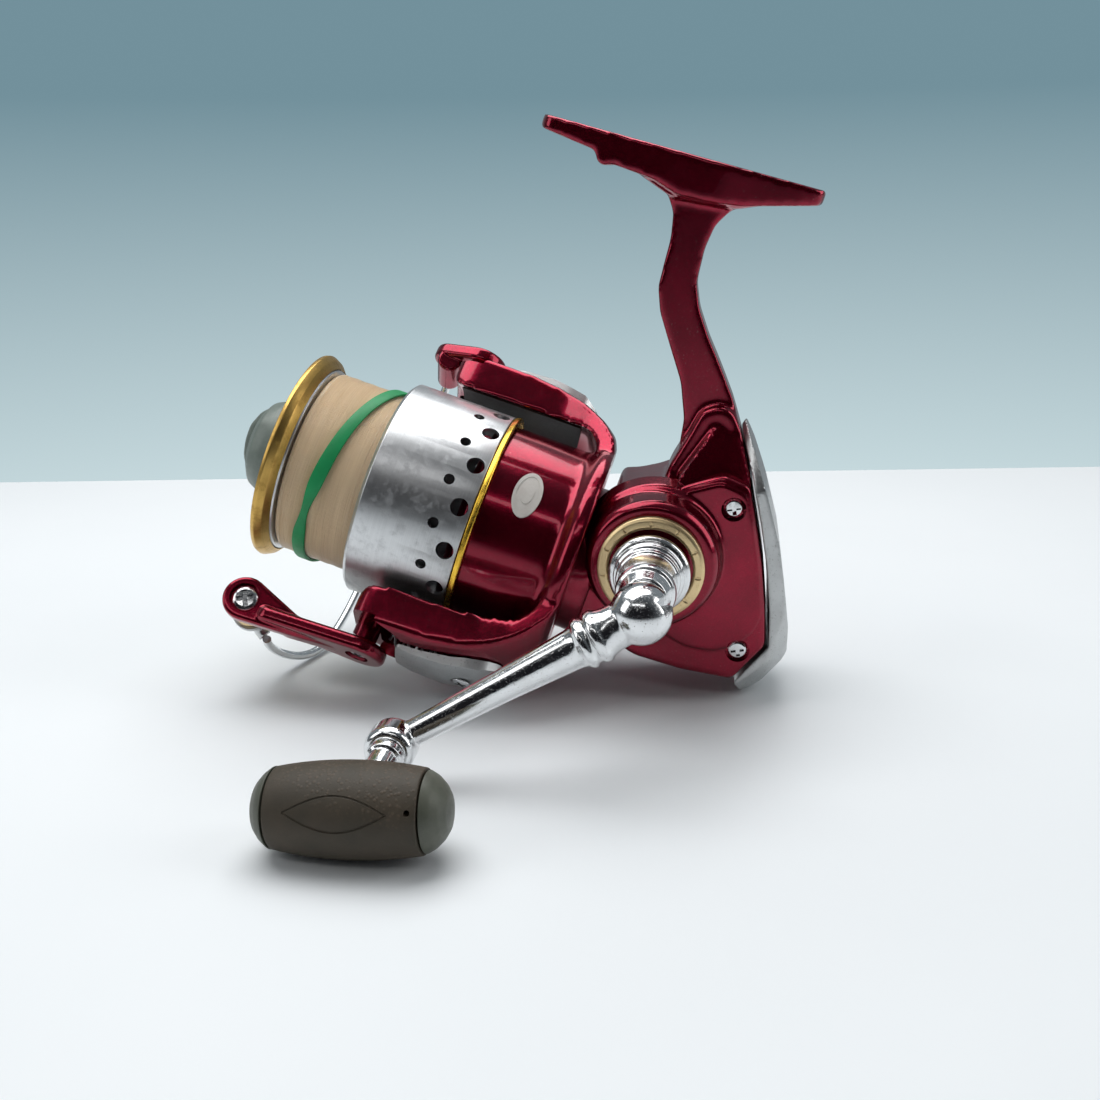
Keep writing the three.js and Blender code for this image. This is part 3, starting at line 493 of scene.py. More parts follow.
def addCamera(s):
    data = bpy.data.cameras.new("camera")
    data.lens = s["lens"]
    data.sensor_width = 36
    data.clip_start = 0.01
    camera = inScene("camera", data)
    azimuth, down, roll = (math.radians(s[key]) for key in ("azimuth", "down", "roll"))
    level = math.cos(down)
    ahead = Vector((math.sin(azimuth) * level, math.cos(azimuth) * level, -math.sin(down)))
    side = ahead.cross(Vector((0, 0, 1))).normalized()
    below = ahead.cross(side)
    right = side * math.cos(roll) + below * math.sin(roll)
    up = side * math.sin(roll) - below * math.cos(roll)
    axes = Matrix((right, up, -ahead)).transposed().to_4x4()
    camera.matrix_world = Matrix.Translation(s["spot"]) @ axes
    bpy.context.scene.camera = camera


def addLight(name, spot, target, size, power):
    data = bpy.data.lights.new(name, "AREA")
    data.shape = "RECTANGLE"
    data.size, data.size_y = size
    data.energy = power
    lamp = inScene(name, data)
    lamp.rotation_mode = "QUATERNION"
    lamp.rotation_quaternion = (Vector(target) - Vector(spot)).to_track_quat("-Z", "Y")
    lamp.location = spot


worldTones = {
    "dropLow": (0.62, 0.75, 0.78), "dropHigh": (0.17, 0.28, 0.33),  # the backdrop that the camera sees
    "roomFront": (0.01, 0.01, 0.012), "roomBack": (0.22, 0.25, 0.27),  # the room that the metal reflects
}


def addWorld(s):
    world = bpy.data.worlds.new("studio")
    bpy.context.scene.world = world
    world.use_nodes = True
    w = NodeWork(world.node_tree)
    y, z = w.split(w.node("TexCoord", {}, {}, "Generated"))[1:]
    drop = w.mix(w.ramp(z + 0.5, (0.22, 0.0), (0.56, 1.0)), s["dropLow"], s["dropHigh"])
    room = w.mix(w.ramp(y * 0.5 + 0.5, (0.15, 0.0), (0.8, 1.0)), s["roomFront"], s["roomBack"])
    seen = w.node("LightPath", {}, {}, "Is Camera Ray")
    w.put(w.tree.nodes["Background"].inputs["Color"], w.mix(seen, room, drop))


floorSizes = {"half": 1.5, "edge": (-0.023, 0.222, 0), "turn": 9}  # the far edge passes through "edge"


def addFloor(s):
    bm = bmesh.new()
    bmesh.ops.create_grid(bm, x_segments=1, y_segments=1, size=s["half"])
    bmesh.ops.translate(bm, vec=(0, -s["half"], 0), verts=bm.verts)
    spun(bm, math.radians(s["turn"]), "Z")
    bmesh.ops.translate(bm, vec=s["edge"], verts=bm.verts)
    mesh = meshOf("floor", bm)
    f = Finish("floorPaper", Roughness=0.55, Specular_IOR_Level=0.3)
    spot = f.space(Matrix.Scale(0.001, 4))
    tone = f.noise(spot, 0.01, 3)
    f.feed(Base_Color=f.mix(tone, (0.86, 0.885, 0.9), (0.8, 0.835, 0.855)),
           Normal=f.bump(f.noise(spot, 1.0, 3), 0.03, 0.0001))
    mesh.materials.append(f.material)
    inScene("floor", mesh)


lights = {  # place, target, size and watts
    "softboxAbove": ((-0.10, 0.16, 0.62), (0, 0, 0.03), (0.75, 0.5), 4.6),
    "softboxLeft": ((-0.55, -0.25, 0.38), (-0.02, 0, 0.05), (0.30, 0.45), 0.8),
    "softboxRight": ((0.55, 0.02, 0.30), (0.02, 0, 0.06), (0.22, 0.5), 0.9),
    "stripFront": ((-0.05, -0.42, 0.52), (0, 0, 0.04), (0.5, 0.06), 0.22),
}

addCamera(cameraSizes)
addWorld(worldTones)
addFloor(floorSizes)
for name, settings in lights.items():
    addLight(name, *settings)
bpy.context.scene.view_settings.view_transform = "Standard"
print("camera and light set")

# Body, stem and foot are one casting. Outlines are (x, z), plans are (x, y), profiles are (along, radius).

bodySizes = {
    "lower": [(-13.2, -12.5), (0, -12.7), (4, -13.7), (15, -13.1), (27.2, -11), (31.4, -0.2), (28.3, 8),
              (23.9, 17.6), (19.3, 26), (14.6, 34.2), (8, 34.6), (-1.6, 28.5), (-5, 25.6), (-9.5, 22.8),
              (-13.2, 21.4)],
    "stem": [(-2.1, 30), (-4.0, 40.8), (-7.6, 48.5), (-12.9, 55.6), (-17.2, 61.5), (-19.4, 66.5),
             (-19.9, 72), (-20.3, 77), (-21.6, 82.2), (-24.4, 85.8), (-31, 88.2), (-31, 90.6), (-3, 91.4),
             (-6.5, 89.2), (-10.2, 86.2), (-12.2, 82.4), (-12.6, 77), (-11.8, 70), (-9.3, 65), (-5.4, 60),
             (-0.4, 54.6), (4.8, 48.6), (14.2, 35.4), (14.6, 30), (12, 26), (-3.4, 26)],
    "flare": [(-3.6, 30), (-2.0, 38), (-1.0, 44.5), (2.6, 47.0), (6, 46.5), (14.0, 35), (14, 27),
              (-3.6, 25)],
    "shoulder": [(-1, 29), (3.4, 44), (5.2, 47.9), (9, 42.6), (14.2, 34.9), (16.8, 29), (12, 24)],
    "footRoot": [(-23, 85), (-31, 87.2), (-34, 90), (-3, 90), (-9, 87)],
    "stemHalf": 4.4, "flareHalf": 6.6, "shoulderHalf": 13.6, "footRootHalf": 6.2,
    "foot": [(-54.6, 92.5), (-54.4, 89.7), (-41.5, 88.9), (-40.2, 86.9), (-38.9, 86.4), (-37, 87.4),
             (-28, 87.3), (-22, 85.8), (-14, 86.6), (-8, 88), (7.6, 93.2), (7.4, 96.2)],
    "footPlan": mirrored([(-54.6, -2.5), (-53.2, -5.2), (-49, -6), (-26, -8.2), (-14, -8.2), (3, -6),
                          (6.6, -5.2), (7.6, -2.5)]),
    "room": [(-10.7, -10), (3, -10.6), (15, -10.2), (25.3, -8.4), (28.6, -0.2), (25.6, 7.5), (21.3, 16.6),
             (16.6, 25), (12, 29), (4, 28.2), (-3, 23.6), (-7.5, 21), (-10.7, 19)],
    "shoulderFoot": 31, "shoulderRise": 17, "shoulderPinch": 0.7,
    "seamY": -7, "farY": 14, "nearFloorY": 11.2,
    "noseRadius": 17.5, "noseBore": 12.3, "pinionBore": 5.9, "gearBore": 12.8,
}


# The broad shoulder under the stem narrows as it rises to the point of the rear cover.
def shoulderShape(s):
    bm = slab(s["shoulder"], -s["shoulderHalf"], s["shoulderHalf"], 0.6, 0)
    bmesh.ops.subdivide_edges(bm, edges=bm.edges, cuts=6, use_grid_fill=True)
    for v in bm.verts:
        rise = max(0.0, min(1.0, (v.co.z - s["shoulderFoot"]) / s["shoulderRise"]))
        v.co.y *= 1 - s["shoulderPinch"] * rise ** 0.8
    return bm


def makeBody(s):
    shoulder = shoulderShape(s)
    foot = overlap(slab(s["foot"], -9, 9, 0.5, 0), slab(s["footPlan"], 80, 100, 1.2, 0, "xy"))
    shells = joined(
        slab(s["lower"], s["seamY"], s["farY"], 1.2, 3.4, edgeSteps=5),
        slab(s["lower"], s["seamY"], 5, 1.2, 0),
        slab(s["stem"], -s["stemHalf"], s["stemHalf"], 0.9, 1.9, edgeSteps=4),
        slab(s["flare"], -s["flareHalf"], s["flareHalf"], 1.5, 2.2),
        shoulder,
        slab(s["footRoot"], -s["footRootHalf"], s["footRootHalf"], 1, 1.5),
        rod(-29, -11, s["noseRadius"], rounding=0.6),
        driveRod(8, 15.3, 10, 0.8),
        foot)
    whole = cut(
        cast(shells, 0.46, 10),
        slab(s["room"], -9, s["nearFloorY"], 0, 0),
        driveRod(-11, -3, s["gearBore"]),
        rod(-30, -16, s["noseBore"]),
        rod(-17, -9, s["pinionBore"]),
        driveRod(10.5, 13, 7.3),
        driveRod(12, 20, 4.6))
    piece("bodyCasting", whole, "frame", "candy_red", paintedReel, "body_with_foot", sharp=40)


makeBody(bodySizes)
print("body made")

screwSizes = {"skirt": 0.45, "crown": 0.1, "slotLong": 0.66, "slotHalf": 0.19, "slotDeep": 0.75, "turn": 0.5}


# A round-headed screw with a cross slot; its top is at "at" and faces "towards".
def crossScrew(radius, at, towards, deep):
    s = screwSizes
    profile = [(-deep, 0), (-deep, radius), (-s["skirt"], radius), (-s["crown"], radius * 0.72), (0, 0)]
    long, thin, low = radius * s["slotLong"], radius * s["slotHalf"], -s["slotDeep"]
    head = cut(turned(profile, 0.12, 48),
               block((low, -long, -thin), (1, long, thin)),
               block((low, -thin, -long), (1, thin, long)),
               rod(low, 1, radius * 0.3, steps=24))
    return aimed(spun(head, s["turn"]), at, towards)


plateSizes = {
    "outline": [(-13.2, -12.3), (0, -12.5), (4, -13.5), (15, -12.9), (27, -10.8), (31.2, -0.2), (28.1, 8),
                (23.7, 17.6), (19.1, 26), (14.6, 33.6), (8, 34), (-2.4, 26.5), (-13.2, 21.4)],
    # the raised upper part of the face, which ends in a soft step above the lower screw
    "panel": [(-13, 2), (4, -4.5), (14, -6.4), (20, -5.4), (24.6, -2.2), (27.0, 2.2), (27.4, 6.5),
              (22.8, 17), (18.4, 25.2), (14, 32), (8.4, 32.4), (-1.6, 25.6), (-13, 20.6)],
    "room": [(-10.7, -10), (3, -10.4), (15, -10), (20, -9), (21, 4), (18, 20), (8, 24), (-3, 24),
             (-10.7, 20)],
    "boss": [(-22.5, 0), (-22.5, 13.2), (-22.1, 13.7), (-21.0, 14.6), (-15.6, 15.2), (-14.2, 16.4),
             (-9.3, 17.4), (-9.3, 0)],
    "screws": {"upper": (12.9, 27.8), "lower": (25.6, -3.4)},
    "face": -14.0, "seam": -7.3, "panelFace": -14.6, "noseRadius": 17.8, "screwRadius": 2.3,
}


def makePlate(s):
    shells = joined(
        slab(s["outline"], s["face"], s["seam"], 1.2, 1.7, edgeSteps=4),
        slab(s["outline"], -10, s["seam"], 1.2, 0),
        slab(s["panel"], s["panelFace"], -13, 1.2, 0.3),
        driveTurned(s["boss"], 0.3, 128))
    sinks = [rod(-16, -12.4, 2.75, (x, 0, z), (0, 1, 0), steps=48) for x, z in s["screws"].values()]
    whole = cut(
        cast(shells, 0.36, 5),
        slab(s["room"], -11.6, 0, 0, 0),
        rod(-30, -10.9, s["noseRadius"]),
        driveRod(-17, 0, 12.8),
        driveRod(-21, -10, 9),
        driveRod(-30, -10, 6.6),
        *sinks)
    piece("sidePlateCasting", whole, "frame", "candy_red", paintedReel, "side_plate", sharp=40)
    for side, (x, z) in s["screws"].items():
        screw = crossScrew(s["screwRadius"], (x, s["face"] + 0.2, z), (0, -1, 0), 1.1)
        piece("plateScrew" + side.title(), screw, "frame", "chrome", chromeReel, "side_plate_screw_" + side)


dialSizes = {
    "profile": [(-22.8, 9.2), (-24.7, 9.2), (-24.9, 9.8), (-24.8, 11.0), (-24.3, 11.7), (-22.8, 11.7)],
    "drops": 11, "dropSize": (0.42, 0.28, 0.8), "dropSpot": (0, -24.85, 10.35), "firstDrop": 0.25,
}


# The gold ring round the handle, with drop-shaped marks sunk in its face.
def makeHubDial(s):
    drops = []
    for k in range(s["drops"]):
        drop = bmesh.new()
        bmesh.ops.create_uvsphere(drop, u_segments=12, v_segments=8, radius=1)
        bmesh.ops.scale(drop, vec=s["dropSize"], verts=drop.verts)
        bmesh.ops.translate(drop, vec=s["dropSpot"], verts=drop.verts)
        turn = Matrix.Rotation(2 * math.pi * k / s["drops"] + s["firstDrop"], 4, "Y")
        drop.transform(Matrix.Translation((0, 0, driveZ)) @ turn)
        drops.append(drop)
    dial = cut(driveTurned(s["profile"], 0.12, 128, True), joined(*drops))
    piece("hubDial", dial, "frame", "gold_anodised", hubGold, "hub_index_ring", sharp=28)


makePlate(plateSizes)
makeHubDial(dialSizes)

coverSizes = {
    "outline": [(5.1, 48.7), (14.3, 35.6), (19.8, 26.2), (24.4, 17.8), (28.8, 8.2), (31.9, -0.2),
                (27.7, -11.4), (31.2, -15.6), (35, -13.4), (37.4, -2.2), (34.6, 5.2), (29.7, 15.1),
                (25.9, 22.4), (19.4, 32), (13.4, 40), (8.3, 46.2), (5.6, 49.4)],
    "crown": [(-30, 0), (-30, 6), (-17.5, 11), (-12, 15.5), (-4, 18.5), (15, 18.2), (60, 7), (60, 0)],
    "crownX": 20, "half": 13.4,
}


# The bent band round the back, narrowed at both ends by a turned crown.
def makeRearCover(s):
    crown = turned(s["crown"], 1.0, 96, (s["crownX"], 0, 0), (0, 0, 1))
    band = overlap(slab(s["outline"], -s["half"], s["half"], 0.5, 0), crown)
    band = cast(band, 0.32, 3)
    piece("rearCoverBand", band, "frame", "satin_silver", coverSilver, "rear_cover", sharp=26)


makeRearCover(coverSizes)
print("side plate and cover made")

# The handle, folded out.

handleSizes = {
    "ball": (0, -51, driveZ), "end": (-37.6, -60, -29.5), "ballRadius": 6.3,
    "collar": [(-26.7, 0), (-26.7, 8.1), (-27.2, 8.8), (-28.6, 8.8), (-29.2, 8.2), (-29.5, 7.6),
               (-30.6, 7.5), (-31, 6.9), (-32.2, 6.8), (-32.5, 6.3), (-38.5, 6.0), (-38.9, 6.4),
               (-40.2, 6.1), (-40.6, 5.5), (-43.2, 4.7), (-43.6, 4.2), (-43.6, 0)],
    "cap": [(14.9, 0), (14.9, 7.4), (16.2, 7.5), (17.2, 7.1), (18.2, 6.1), (18.7, 4.4), (18.9, 2.2),
            (18.9, 0)],
    "capNotches": 14, "notchRadius": 0.55, "notchOut": 7.9,
    # along the arm from the middle of the ball; the last stretch is added where the arm ends
    "arm": [(0, 0), (0, 4.4), (6.8, 4.6), (8.4, 5.0), (8.8, 5.5), (10.3, 5.5), (10.7, 4.8), (11.5, 4.8),
            (11.9, 5.4), (13.1, 5.3), (13.6, 4.5), (15, 4.15), (30, 3.35), (44, 2.95)],
    "armTip": 2.7,
    "boss": [(-65, 0), (-65, 4.1), (-64.4, 4.9), (-63.4, 5.25), (-59, 5.2), (-57.6, 4.4), (-56, 3.4),
             (-55.4, 0)],
    "neck": [(-65.3, 0), (-65.3, 3.5), (-65.9, 3.9), (-67.6, 3.7), (-68, 3), (-77.1, 3), (-77.1, 2.2),
             (-89, 2.2), (-89, 0)],
    "tongueHalf": 1.5, "slotHalf": 1.9, "pinBore": 1.5, "pinRadius": 1.15,
}


def makeHandle(s):
    ball, end = Vector(s["ball"]), Vector(s["end"])
    along = (end - ball).normalized()
    length = (end - ball).length
    flat = Vector((end.x, 0, end.z - driveZ)).normalized()
    fold = Vector((0, 1, 0)).cross(flat).normalized()
    axes = Matrix((flat, (0, 1, 0), -fold)).transposed().to_4x4()
    foldPlace = Matrix.Translation(ball) @ axes
    half, slot = s["tongueHalf"], s["slotHalf"]

    # Shapes lined up with the flat arm and with the pin that it folds on.
    def foldBlock(low, high):
        bm = block(low, high)
        bm.transform(foldPlace)
        return bm

    def foldRod(start, stop, radius):
        return rod(start, stop, radius, ball, fold, 0.1, 48)

    collar = combined(driveTurned(s["collar"], 0.16, 112), "UNION", foldBlock((-2, 0, -half), (2, 8.2, half)),
                      foldRod(-half, half, 3))
    collar = cut(collar, foldRod(-8, 8, s["pinBore"]))
    piece("handleCollar", collar, "drive", "chrome", chromeReel, "handle_collar", sharp=30)

    notches = []
    for k in range(s["capNotches"]):
        notch = rod(14, 20, s["notchRadius"], (0, s["notchOut"], 0), (1, 0, 0), 0, 12)
        notch.transform(Matrix.Translation((0, 0, driveZ)) @ Matrix.Rotation(math.pi / 2, 4, "Z")
                        @ Matrix.Rotation(2 * math.pi * k / s["capNotches"], 4, "X"))
        notches.append(notch)
    cap = cut(driveTurned(s["cap"], 0.3, 96), joined(*notches))
    piece("handleCap", cap, "drive", "candy_red", paintedReel, "handle_cap", sharp=30)

    ballShape = bmesh.new()
    bmesh.ops.create_uvsphere(ballShape, u_segments=64, v_segments=40, radius=s["ballRadius"])
    bmesh.ops.translate(ballShape, vec=ball, verts=ballShape.verts)
    profile = [*s["arm"], (length - 3, s["armTip"]), (length - 3, 0)]
    shells = joined(ballShape, turned(profile, 0.3, 80, ball, along),
                    turned(s["boss"], 0.3, 80, (end.x, 0, end.z), (0, 1, 0)))
    arm = cut(cast(shells, 0.3, 2), foldBlock((-9, -3.8, -slot), (3.8, 9, slot)),
              foldRod(-8, 8, s["pinBore"]))
    piece("handleArm", arm, "handle", "chrome", chromeReel, "handle_arm", sharp=40)

    neck = turned(s["neck"], 0.15, 64, (end.x, 0, end.z), (0, 1, 0))
    piece("knobNeck", neck, "handle", "chrome", chromeReel, "knob_shaft")
    piece("foldPin", foldRod(-5, 5, s["pinRadius"]), "drive", "steel", machinedSteel, "handle_pin")


knobSizes = {
    "centreY": -86, "half": 19.5, "radius": 8.9, "tilt": 0.375, "gripFrom": 4.8, "gripTo": 33.0,
    "joint": 0.3, "seat": 4.8, "gripBore": 5.1, "gripSteps": 22, "taper": 0.52,
    "nearCap": [(0.5, 0), (0.55, 1.4), (0.9, 3.2), (1.7, 5.0), (3.0, 6.5)], "nearCapEdge": 7.6,
    "farCap": [(35.0, 6.5), (36.4, 5.1), (37.4, 3.4), (37.8, 1.3), (37.85, 0)], "farCapEdge": 7.5,
    "leafSpots": 25, "leafFrom": 9, "leafLength": 19, "leafMiddle": 0.42, "leafOpen": 0.36, "leafLine": 0.24,
    "holeAlong": 31.5, "holeUp": 3.6, "holeRadius": 0.55,
}


def makeKnob(s):
    end = Vector(handleSizes["end"])
    middle = Vector((end.x, s["centreY"], end.z))
    along = Vector((math.cos(s["tilt"]), 0, math.sin(s["tilt"])))
    across = Vector((0, 1, 0))
    side = along.cross(across)
    start = middle - along * s["half"]
    gripFrom, gripTo, seat = s["gripFrom"], s["gripTo"], s["seat"]

    def swell(where):
        share = (where - s["half"]) / s["half"]
        return s["radius"] * math.sqrt(1 - s["taper"] * share * share)

    bore = rod(-90, -74, 2.6, (end.x, 0, end.z), (0, 1, 0), steps=48)
    mouth = rod(-83, -74, 3.5, (end.x, 0, end.z), (0, 1, 0), steps=48)
    near, far = gripFrom - s["joint"], gripTo + s["joint"]
    profile = [*s["nearCap"], (near, s["nearCapEdge"]), (near, seat), (far, seat), (far, s["farCapEdge"]),
               *s["farCap"]]
    core = cut(turned(profile, 0.35, 96, start, along), bore)
    piece("knobCore", core, "knob", "grey_plastic", capGrey, "knob_core", sharp=38)

    steps = s["gripSteps"]
    spots = [gripFrom + (gripTo - gripFrom) * k / steps for k in range(steps + 1)]
    profile = [(gripFrom, s["gripBore"]), *[(spot, swell(spot)) for spot in spots], (gripTo, s["gripBore"])]
    grip = turned(profile, 0.25, 128, start, along, True)
    leaf = []
    for bend in (1, -1):  # the engraved leaf line round the middle
        line = []
        for k in range(s["leafSpots"]):
            share = k / (s["leafSpots"] - 1)
            turn = s["leafMiddle"] + bend * s["leafOpen"] * math.sin(math.pi * share)
            where = s["leafFrom"] + s["leafLength"] * share
            out = swell(where) + 0.02
            line.append(start + along * where - across * out * math.cos(turn) + side * out * math.sin(turn))
        leaf.append(wireAlong(line, s["leafLine"], sides=2, fine=4))
    holeSpot = start + along * s["holeAlong"] + side * s["holeUp"] + Vector((0, 6, 0))
    hole = rod(-20, -1, s["holeRadius"], holeSpot, (0, 1, 0), steps=24)
    piece("knobGrip", cut(grip, mouth, *leaf, hole), "knob", "grip_rubber", gripRubber(reelPlace, middle),
          "knob_grip", sharp=38)


makeHandle(handleSizes)
makeKnob(knobSizes)
print("handle and knob made")

# The rotor with its two arms; its pieces are placed with the rotor's turn.

rotorSizes = {
    "cup": [(-44.5, 5.8), (-44.5, 22), (-42.5, 24.3), (-21.5, 24.3), (-18.6, 27.2), (-15.9, 27.4),
            (-15.9, 21.6), (-39, 21.6), (-41.5, 19), (-41.5, 9), (-32, 9), (-32, 5.8)],
    "arm": [(-59.2, 31.1), (-59.2, 36.5), (-57.6, 37.8), (-42, 37.8), (-34, 36.9), (-27, 35.2),
            (-20.8, 32.4), (-17, 29.6), (-15.9, 26.6), (-15.9, 22.6), (-20, 22.6), (-20.6, 27), (-24, 29.5),
            (-58.2, 29.5)],
    "plan": mirrored([(-60.2, -6), (-59.4, -9.6), (-57.2, -11.3), (-54.2, -12), (-44, -12.4),
                      (-32, -13.2), (-24, -15.5), (-17, -19), (-12, -22)]),
    "trough": mirrored([(-53, -7.6), (-30, -9.2)]),
    "troughRing": [(-53, 32), (-53, 50), (-30, 50), (-30, 32)],
    "pivotX": -55.8, "seatRadius": 12.2, "seatDepth": 34.2, "seatBoss": 3, "pivotBore": 2,
    # a thin dark sheet along the arms' inner sides, which stands in for their shade
    "shadeSheet": [(-56.5, 29.0), (-56.5, 29.3), (-26, 29.3), (-26, 29.0)],
    "shadeSheetPlan": mirrored([(-57, -9.6), (-25, -12.4)]),
}


# A shape seen from above that reaches through both arms.
def throughPlan(points, rounding, reach=50):
    return slab(points, -reach, reach, rounding, 0, "xy")


def makeRotor(s):
    at = (s["pivotX"], 0, 0)
    arms = overlap(turned(s["arm"], 0.9, 128, closed=True), throughPlan(s["plan"], 1.2))
    whole = cast(joined(turned(s["cup"], 0.5, 128, closed=True), arms), 0.5, 14)
    trough = overlap(throughPlan(s["trough"], 1.5), turned(s["troughRing"], 0, 96, closed=True))
    seat = [(s["seatDepth"], s["seatBoss"]), (s["seatDepth"], s["seatRadius"]), (60, s["seatRadius"]),
            (60, s["seatBoss"])]
    seats = [turned(seat, 0, 80, at, (0, 0, sign), True) for sign in (1, -1)]
    bores = [rod(28, 60, s["pivotBore"], at, (0, 0, sign), steps=40) for sign in (1, -1)]
    whole = cut(whole, trough, *seats, joined(*bores))
    piece("rotorCasting", whole, "rotor", "candy_red", paintedRotor, "rotor", place=rotorPlace, sharp=40)
    # a thin dark matte sheet along the inner side of each arm: painted shade over the red casting, in the
    # hollow under the arm
    shadeSheet = overlap(turned(s["shadeSheet"], 0, 128, closed=True), throughPlan(s["shadeSheetPlan"], 0.8))
    piece("armShadeSheet", shadeSheet, "rotor", "candy_red", armShadeDark, place=rotorPlace)


armCoverSizes = {
    "ring": [(-48, 38.1), (-48, 38.7), (-44, 39.4), (-36, 39.6), (-28, 38.2), (-22, 34.6), (-22, 33.3),
             (-27.4, 35.7), (-34.6, 37.4), (-42, 38.1)],
    "plan": mirrored([(-47.5, -7.2), (-32, -9), (-27, -8.6), (-23.8, -6), (-22.5, -2.4)]),
    "screwX": -31.2, "screwRadius": 2.2, "sink": 2.6, "top": 39.6,
}


def makeArmCovers(s):
    for side, sign in (("Upper", 1), ("Lower", -1)):
        half = block((-70, -30, 0 if sign > 0 else -70), (0, 30, 70 if sign > 0 else 0))
        shell = overlap(turned(s["ring"], 0.2, 144, closed=True), throughPlan(s["plan"], 1.0, 60), half)
        shell = cut(shell, rod(s["top"] - 1.1, s["top"] + 4, s["sink"], (s["screwX"], 0, 0), (0, 0, sign),
                               steps=48))
        piece("armCover" + side, shell, "rotor", "satin_silver", armSilver, "arm_cover_" + side.lower(),
              place=rotorPlace, sharp=30)
        screw = crossScrew(s["screwRadius"], (s["screwX"], 0, sign * s["top"]), (0, 0, sign), 0.8)
        piece("armCoverScrew" + side, screw, "rotor", "chrome", chromeRotor,
              "arm_cover_screw_" + side.lower(), place=rotorPlace)


badgeSizes = {"x": -31, "halfLong": 5.6, "halfWide": 3.2, "under": 24.55, "rim": 24.9, "field": 24.78,
              "fieldWide": 0.78, "fieldLong": 0.82, "core": 0.42, "sides": 48}


# A plain oval plate: a raised rim, a sunk field and a raised oval in the middle.
def makeBadge(s):
    def oval(wide, long, low, high):
        turns = [2 * math.pi * k / s["sides"] for k in range(s["sides"])]
        points = [(s["x"] + s["halfWide"] * wide * math.cos(a), s["halfLong"] * long * math.sin(a))
                  for a in turns]
        return slab(points, low, high, 0, 0, "xy")

    def shell(low, high):
        return turned([(-40, low), (-40, high), (-22, high), (-22, low)], 0, 160, closed=True)

    plate = overlap(shell(s["under"], s["rim"]), oval(1, 1, 20, 30))
    field = overlap(shell(s["field"], 26), oval(s["fieldWide"], s["fieldLong"], 20, 30))
    plate = cut(plate, cut(field, oval(s["core"], s["core"], 10, 40)))
    plate.transform(Matrix.Rotation(math.pi / 2, 4, "X"))
    piece("rotorBadge", plate, "rotor", "white_plastic", badgeWhite, "rotor_badge", place=rotorPlace)


makeRotor(rotorSizes)
makeArmCovers(armCoverSizes)
makeBadge(badgeSizes)
print("rotor made")

# The bail: two levers, the wire and the line roller.

bailSizes = {
    "pivotX": -55.8, "rollerX": -84.8, "rollerZ": -38, "headY": -1.2, "coneY": 9.8, "armTop": 38.3,
    "wireHead": (-63.6, 1.5, 37.6), "wireRadius": 1.05, "leverGrain": 0.26,
    # from beside the roller round behind the spool and over to the wire lever
    "wirePath": [(-79.8, 19.5, -42.8), (-74.4, 28.6, -41.2), (-70.8, 35, -35), (-70, 39.6, -27.5),
                 (-70, 43.8, -18), (-70.4, 46.6, -7), (-70.8, 47, 5), (-70.4, 43.2, 17), (-69, 38, 23.6),
                 (-67, 29.5, 28.4), (-65.2, 18.4, 31), (-64.4, 14, 33.4), (-64, 11, 36.6)],
}


# A rounded bar between two circles, seen flat.
def bar(first, firstRadius, second, secondRadius, low, high, edge, plane, steps=16):
    (ax, ay), (bx, by) = first, second
    along = math.atan2(by - ay, bx - ax)
    flare = math.acos((firstRadius - secondRadius) / math.hypot(bx - ax, by - ay))

    def arc(x, y, radius, begin, sweep):
        turns = [begin + sweep * k / steps for k in range(steps + 1)]
        return [(x + radius * math.cos(a), y + radius * math.sin(a)) for a in turns]

    points = arc(ax, ay, firstRadius, along + flare, 2 * math.pi - 2 * flare)
    points += arc(bx, by, secondRadius, along - flare, 2 * flare)
    return slab(points, low, high, 0, edge, plane)


# A rod along the bail's pivot, measured outward from the top of the rotor arm.
def pivotRod(s, start, end, radius, sign, steps=48):
    top = s["armTop"]
    return rod(top + start, top + end, radius, (s["pivotX"], 0, 0), (0, 0, sign), steps=steps)


def makeRollerLever(s):
    pivot, x, z = s["pivotX"], s["rollerX"], s["rollerZ"]
    top, head = s["armTop"], s["headY"]
    lever = cast(joined(
        bar((pivot, 0), 6.4, (x + 7, 0.4), 3.2, -top - 3.4, -top, 1.0, "xy"),
        bar((x, z), 5.2, (x + 12, -40), 2.6, head, head + 3.2, 0.7, "xz"),
        bar((x + 12, -40), 2.6, (pivot - 6, -top - 1.8), 1.7, head, head + 4.6, 0.9, "xz")),
        s["leverGrain"], 4)
    lever = cut(
        lever,
        pivotRod(s, 1.6, 8, 2.8, -1),
        pivotRod(s, -4, 8, 1.6, -1),
        rod(-head - 1.2, -head + 4, 3.5, (x, 0, z), (0, -1, 0), steps=48),
        rod(-head - 8, -head + 4, 1.6, (x, 0, z), (0, -1, 0), steps=48))
    piece("rollerLever", lever, "bail", "candy_red", paintedRotor, "roller_lever", place=rotorPlace, sharp=40)


def makeWireLever(s):
    pivot, top = s["pivotX"], s["armTop"]
    x, y, z = s["wireHead"]
    lever = cast(joined(bar((pivot, 0), 6.2, (x, y), 4.6, top, top + 3.6, 0.9, "xy"),
                        rod(-2.4, 8.4, 3, (x, 0, z), (0, 1, 0), 0.6)), s["leverGrain"], 4)
    lever = cut(
        lever,
        pivotRod(s, 1.8, 9, 2.8, 1),
        pivotRod(s, -5, 9, 1.6, 1),
        rod(3, 10, 1.5, (x, 0, z), (0, 1, 0), steps=40))
    piece("wireLever", lever, "bail", "candy_red", paintedRotor, "wire_lever", place=rotorPlace, sharp=40)


def makePivotScrews(s):
    pivot, top = s["pivotX"], s["armTop"]
    for side, sign in (("Upper", 1), ("Lower", -1)):
        screw = joined(crossScrew(2.4, (pivot, 0, sign * (top + 3)), (0, 0, sign), 1.0),
                       pivotRod(s, -4.3, 2.1, 1.2, sign, 32))
        piece("bailPivotScrew" + side, screw, "bail", "chrome", chromeRotor,
              "bail_pivot_screw_" + side.lower(), place=rotorPlace)


